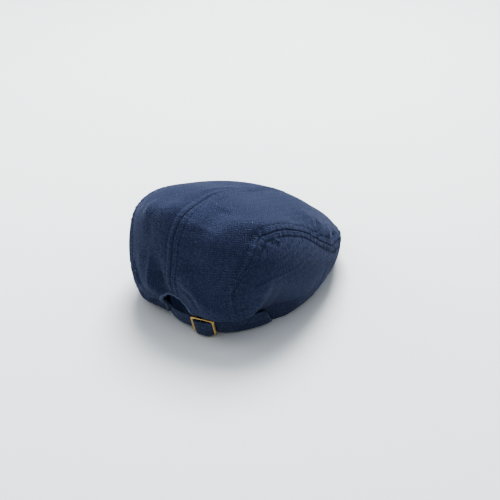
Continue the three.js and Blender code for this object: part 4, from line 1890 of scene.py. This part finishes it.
@dataclass
class Buckle:
    """The brass slide buckle: a square frame with a bar across its middle."""

    route: StrapRoute
    brass: bpy.types.Material
    along: float = 0.51
    width: float = 0.0258
    bar: float = 0.0031
    trim: float = 0.0028
    clearance: float = 0.0005
    corner_radius: float = 0.0030
    corner_steps: int = 9
    corners: int = 20
    squareness: float = 0.62
    bar_radius: float = 0.42
    bar_steps: int = 12

    def __post_init__(self) -> None:
        """Finds the buckle's middle and its directions."""
        station = self.route.stations(np.array([self.along]))
        self.foot = station.foot[0]
        self.right = -station.along[0]
        self.up = station.up[0]
        self.face = station.face[0]
        self.height = self.route.width + 2 * (self.bar + self.clearance) - self.trim
        self.plane = self.route.thickness / 2 + self.clearance + self.bar / 2
        self.middle = self.foot + self.up * (self.route.width + self.trim) / 2 + self.face * self.plane

    def _frame_line(self) -> tuple[Array, Array]:
        """Goes round the frame.

        Returns:
            The frame's middle line in the buckle's plane, and its outward direction.
        """
        half_wide = (self.width - self.bar) / 2
        half_high = (self.height - self.bar) / 2
        radius = self.corner_radius - self.bar / 2
        line, outward = [], []
        for quarter, (sign_x, sign_y) in enumerate(((1, 1), (-1, 1), (-1, -1), (1, -1))):
            corner = np.array([sign_x * (half_wide - radius), sign_y * (half_high - radius)])
            for turn in np.linspace(quarter, quarter + 1, self.corner_steps) * math.pi / 2:
                direction = np.array([math.cos(turn), math.sin(turn)])
                line.append(corner + radius * direction)
                outward.append(direction)
        return np.array(line), np.array(outward)

    def _sections(self, line: Array, outward: Array, wide: Array, thick: Array) -> Array:
        """Puts the same section round every place of a line in the buckle's plane.

        Args:
            line: The line's places, in the buckle's plane.
            outward: The direction in the plane that the section's width goes along, at each place.
            wide: The section's widths.
            thick: How far each of them stands out of the plane.

        Returns:
            The sections in space.
        """
        flat = line[:, None, :] + outward[:, None, :] * wide[None, :, None]
        lift = np.broadcast_to(thick, flat.shape[:2])
        in_plane = self.middle + flat[..., :1] * self.right + flat[..., 1:] * self.up
        return in_plane + lift[..., None] * self.face

    def build(self) -> bpy.types.Object:
        """Makes the frame and its bar as one mesh.

        Returns:
            The buckle.
        """
        turn = full_turn(self.corners)
        circle = (np.cos(turn), np.sin(turn))
        wide, thick = (np.sign(part) * np.abs(part) ** self.squareness for part in circle)
        line, outward = self._frame_line()
        sections = self._sections(line, outward, wide * self.bar / 2, thick * self.bar / 2)
        shape = swept(sections[:, ::-1], closed=True)
        reach = self.height / 2 - self.bar / 2
        radius = self.bar * self.bar_radius
        rows = np.linspace(-reach, reach, self.bar_steps)
        line = np.column_stack([np.zeros(self.bar_steps), rows])
        outward = np.tile([1.0, 0.0], (self.bar_steps, 1))
        shape.merge(swept(self._sections(line, outward, radius * np.cos(turn), radius * np.sin(turn))))
        return shape.build("buckle_brass", self.brass)


@dataclass
class Strap:
    """The cloth strap that crosses the arch and passes over the buckle's bar.

    Inside the buckle the cloth humps over the bar. There its lower edge sags and its upper edge swells up.
    """

    route: StrapRoute
    buckle: Buckle
    cloth: bpy.types.Material
    steps: int = 520
    measure_steps: int = 1200
    face_steps: int = 34
    edge_steps: int = 6
    edge_round: float = 0.0009
    end_slant: float = 0.016
    slant_fades: float = 0.3
    end_size: float = 0.45
    end_length: float = 0.0015
    hump_inset: float = 0.75
    hump_flatness: float = 3.2
    hump_steepness: float = 0.6
    pillow: float = 0.0008
    low_pillow: float = 0.0006
    sag: float = -0.0012
    sag_power: float = 1.5
    swell: float = 0.0026
    swell_power: int = 3
    wrinkles: tuple[Place, ...] = ((0.00018, 0.0023, 0.0), (0.00014, 0.0041, 1.0))
    wrinkle_turns: float = 1.6
    quilting: float = 0.0004
    quilting_width: float = 0.0007
    stitch_inset: float = 0.0026
    stitch_steps: int = 500
    stitch_margin: float = 0.012
    stitch_sink: float = 0.0003
    end_row_share: float = 0.011
    end_row_inset: float = 0.0004
    end_row_steps: int = 60
    end_row_lift: float = 0.0001
    weave_shift: float = 0.0013

    def __post_init__(self) -> None:
        """Measures the route."""
        line = self.route.curve(np.linspace(0.0, 1.0, self.measure_steps))
        self.length = lengths_along(line)[-1]

    def surface(self, share: Array, height: Array, offset: Array) -> Array:
        """Points of the strap.

        Args:
            share: Places on the route.
            height: How far up from the lower edge, in metres.
            offset: How far out from the strap's middle layer.

        Returns:
            The points.
        """
        up_share = np.clip(height / self.route.width, 0.0, 1.0)
        low = 1.0 - up_share
        slant = self.end_slant / self.length
        moved = share + slant * up_share * np.maximum(0.0, 1.0 - share / self.slant_fades) ** 2
        station = self.route.stations(moved)
        flat = station.foot - self.buckle.foot
        reach = self.buckle.width / 2 - self.buckle.bar * self.hump_inset
        inside = np.clip(reach_of(flat) / reach, 0.0, 1.0)
        rise = (1.0 - inside**self.hump_flatness) ** self.hump_steepness
        bulge = (2 * self.buckle.plane + self.pillow + self.low_pillow * low) * rise
        drop = rise * (self.sag * low**self.sag_power - self.swell * up_share**self.swell_power)
        points = station.foot + station.up * (height - drop)[:, None]
        return points + station.face * (bulge + offset)[:, None]

    def _section(self) -> tuple[Array, Array]:
        """Draws the strap's section, rounded at its edges and quilted by its stitching.

        Returns:
            The section's heights, and its offsets from the middle layer.
        """
        width, half, edge = self.route.width, self.route.thickness / 2, self.edge_round
        height = edge + np.linspace(0.0, 1.0, self.face_steps) * (width - 2 * edge)
        from_edge = np.minimum(height, width - height)
        plump = half - self.quilting * bump(from_edge - self.stitch_inset, self.quilting_width)
        turn = np.linspace(0.0, math.pi, self.edge_steps + 2)[1:-1]
        top_height = width - edge + edge * np.sin(turn)
        bottom_height = edge - edge * np.sin(turn)
        heights = np.concatenate([height, top_height, height[::-1], bottom_height])
        offsets = np.concatenate([plump, half * np.cos(turn), -plump[::-1], -half * np.cos(turn)])
        return heights, offsets

    def build(self) -> bpy.types.Object:
        """Makes the strap as one swept band.

        Returns:
            The strap.
        """
        heights, offsets = self._section()
        count = len(heights)
        waist = np.sin(heights / self.route.width * math.pi * self.wrinkle_turns)
        sections, places = [], []
        for share in np.linspace(0.0, 1.0, self.steps):
            along = share * self.length
            thin = min(1.0, self.end_size + min(along, self.length - along) / self.end_length)
            wave = sum(size * math.sin(along / pitch + start) for size, pitch, start in self.wrinkles)
            sections.append(self.surface(np.full(count, share), heights, offsets * thin + wave * waist))
            places.append(np.column_stack([heights + self.weave_shift, np.full(count, along)]))
        return swept(np.array(sections), np.array(places)).build("strap_cloth", self.cloth)

    def stitch_rows(self) -> list[tuple[Array, Array]]:
        """Follows the rows along both edges.

        Returns:
            Each row's points and outward directions.
        """
        shares = np.linspace(self.stitch_margin, 1.0 - self.stitch_margin, self.stitch_steps)
        offset = np.full(self.stitch_steps, self.route.thickness / 2 - self.stitch_sink)
        face = self.route.stations(shares).face
        low, high = self.stitch_inset, self.route.width - self.stitch_inset
        edges = (np.full(self.stitch_steps, height) for height in (low, high))
        return [(self.surface(shares, heights, offset), face) for heights in edges]

    def end_row(self) -> tuple[Array, Array]:
        """Follows the slanted row that holds the sewn end.

        Returns:
            The row's points and outward directions.
        """
        heights = np.linspace(self.end_row_inset, self.route.width - self.end_row_inset, self.end_row_steps)
        shares = np.full(self.end_row_steps, self.end_row_share)
        offset = np.full(self.end_row_steps, self.route.thickness / 2 + self.end_row_lift)
        return self.surface(shares, heights, offset), self.route.stations(shares).face


# ---------- the studio ----------


@dataclass(frozen=True)
class Lamp:
    """A soft square light that faces the cap, with its side in metres and its power in watts."""

    name: str
    place: Place
    side: float
    power: float
    tint: Place = (1.0, 1.0, 1.0)
    aim: Place = (0.0, 0.0, 0.05)

    def make(self) -> None:
        """Sets the light up."""
        data = bpy.data.lights.new(self.name, "AREA")
        data.size, data.energy, data.color = self.side, self.power, self.tint
        lamp = placed(self.name, data)
        lamp.location = self.place
        direction = Vector(self.aim) - Vector(self.place)
        lamp.rotation_euler = direction.to_track_quat("-Z", "Y").to_euler()


# A big soft key light, two weak ones, and a faint blue one in the hollow.
LAMPS = (
    Lamp("key", (0.42, -0.8, 1.62), 0.95, 33.2),
    Lamp("fill", (-0.9, 1.45, 0.42), 1.0, 4.0),
    Lamp("side", (1.21, 0.357, 0.5), 0.9, 2.2),
    Lamp("inside", (0.0, 0.03, 0.085), 0.03, 0.012, (0.22, 0.4, 1.0)),
)


@dataclass
class Studio:
    """The floor, the soft lights and the camera."""

    floor_size: float = 6.0
    azimuth: float = math.radians(214.8)
    elevation: float = math.radians(32.3)
    distance: float = 1.04
    lens: float = 70.0
    sensor: float = 36.0
    near: float = 0.01
    far: float = 50.0
    target: Place = (0.0, 0.032, 0.05)
    framing_right: float = 0.0259
    framing_up: float = 0.003
    sky_span: Flat = (0.1, 0.9)
    sky_strength: Flat = (0.045, 0.56)
    sky: Colour = (0.88, 0.94, 1.0, 1.0)
    exposure: float = 0.6

    def build(self, shift: Vector) -> None:
        """Sets up the whole studio.

        Args:
            shift: How far the cap lies from where its sizes are measured.
        """
        self.camera(shift)
        self.floor()
        for lamp in LAMPS:
            lamp.make()
        self.room()
        self.colours()

    def camera(self, shift: Vector) -> None:
        """Places the scene's camera.

        Args:
            shift: How far the cap lies from where its sizes are measured.
        """
        a, e = self.azimuth, self.elevation
        back = Vector((math.sin(a) * math.cos(e), -math.cos(a) * math.cos(e), math.sin(e)))
        right = Vector((math.cos(a), math.sin(a), 0.0))
        up = back.cross(right)
        data = bpy.data.cameras.new("camera")
        data.lens, data.sensor_width = self.lens, self.sensor
        data.clip_start, data.clip_end = self.near, self.far
        camera = placed("camera", data)
        place = Vector(self.target) + shift + right * self.framing_right + up * self.framing_up
        turn = Matrix((right, up, back)).transposed().to_4x4()
        camera.matrix_world = Matrix.Translation(place + back * self.distance) @ turn
        bpy.context.scene.camera = camera

    def floor(self) -> None:
        """Lays the floor."""
        half = self.floor_size / 2
        mesh = bpy.data.meshes.new("floor")
        corners = [(-half, -half, 0.0), (half, -half, 0.0), (half, half, 0.0), (-half, half, 0.0)]
        mesh.from_pydata(corners, [], [(0, 1, 2, 3)])
        mesh.materials.append(PaleFloor().make())
        placed("floor", mesh)

    def room(self) -> None:
        """Lights the scene softly from above, less from the sides."""
        world = bpy.data.worlds.new("room")
        graph = Graph(world, "Background")
        place = graph.node("TexCoord", {}).outputs["Generated"]
        up = graph.node("SeparateXYZ", {0: place}).outputs["Z"]
        strength = graph.spread(up, self.sky_span, self.sky_strength)
        graph.dress({"Strength": strength, "Color": self.sky})
        bpy.context.scene.world = world

    def colours(self) -> None:
        """Sets the picture's contrast and exposure."""
        view = bpy.context.scene.view_settings
        view.view_transform = "AgX"
        view.look = "AgX - High Contrast"
        view.exposure = self.exposure


# ---------- the cap ----------


def seated(piece: bpy.types.Object, shift: Vector, slot: Slot, *nodes: str) -> None:
    """Puts a piece in the cap's frame and hides the plain solids that it replaces.

    Args:
        piece: The piece.
        shift: How far the cap lies from where its sizes are measured.
        slot: Not used.
        *nodes: The plain solids that it replaces.
    """
    piece.data.transform(Matrix.Translation(shift))
    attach(piece, BODY)
    for node in nodes:
        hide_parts(node)
    LOG.info("%s: %d points, %d faces", piece.name, len(piece.data.vertices), len(piece.data.polygons))


def sew(crown: Crown, strap: Strap) -> Stitching:
    """Sews the rows of stitches along the seams and along the strap's edges.

    Args:
        crown: The crown, with its seams' rows.
        strap: The strap, with the rows along its edges.

    Returns:
        The stitching.
    """
    stitching = Stitching()
    for seam in crown.seams:
        for row in seam.rows:
            disc = seam.moved(row.offset)
            low, high = (int(share * (len(disc) - 1)) for share in (row.start, row.end))
            disc = disc[low:high]
            stitching.row(crown.finished(disc), crown.form.normal(disc))
    for points, normals in strap.stitch_rows():
        stitching.row(points, normals)
    return stitching


def main() -> None:
    """Builds the cap and the studio."""
    logging.basicConfig(level=logging.INFO, format="%(name)s: %(message)s")
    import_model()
    peak_form, route = PeakForm(), StrapRoute()
    shift = Vector((0.0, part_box("peak")[0].y - peak_form.front_y, 0.0))
    Studio().build(shift)

    cloth = CROWN_CLOTH.make()
    wear_and_highlight_cloth = BINDING_WEAR_AND_HIGHLIGHT_CLOTH.make()
    thread = SEAM_THREAD.make()
    pale_thread = STRAP_END_THREAD.make()
    brass = PolishedBrass().make()
    strap_cloth = STRAP_CLOTH_PAINTED_LIGHT.make()

    form = CrownForm(route, peak_form)
    crown = Crown(form, Pattern(form), cloth)
    for name, panel in crown.build().items():
        seated(panel, shift, Slot.CLOTH, name)
    seated(Peak(peak_form, cloth).build(), shift, Slot.CLOTH, "peak")
    seated(Binding(crown, wear_and_highlight_cloth).build(), shift, Slot.CLOTH, "arch_binding")
    buckle = Buckle(route, brass)
    seated(buckle.build(), shift, Slot.BRASS, "buckle")
    strap = Strap(route, buckle, strap_cloth)
    seated(strap.build(), shift, Slot.CLOTH, "strap")
    seated(sew(crown, strap).shape.build("stitching", thread), shift, Slot.CLOTH)
    end_stitching = Stitching(radius=0.0003, lift=0.0003)
    end_stitching.row(*strap.end_row())
    seated(end_stitching.shape.build("strap_end_stitching", pale_thread), shift, Slot.CLOTH)


if __name__ == "__main__":
    main()
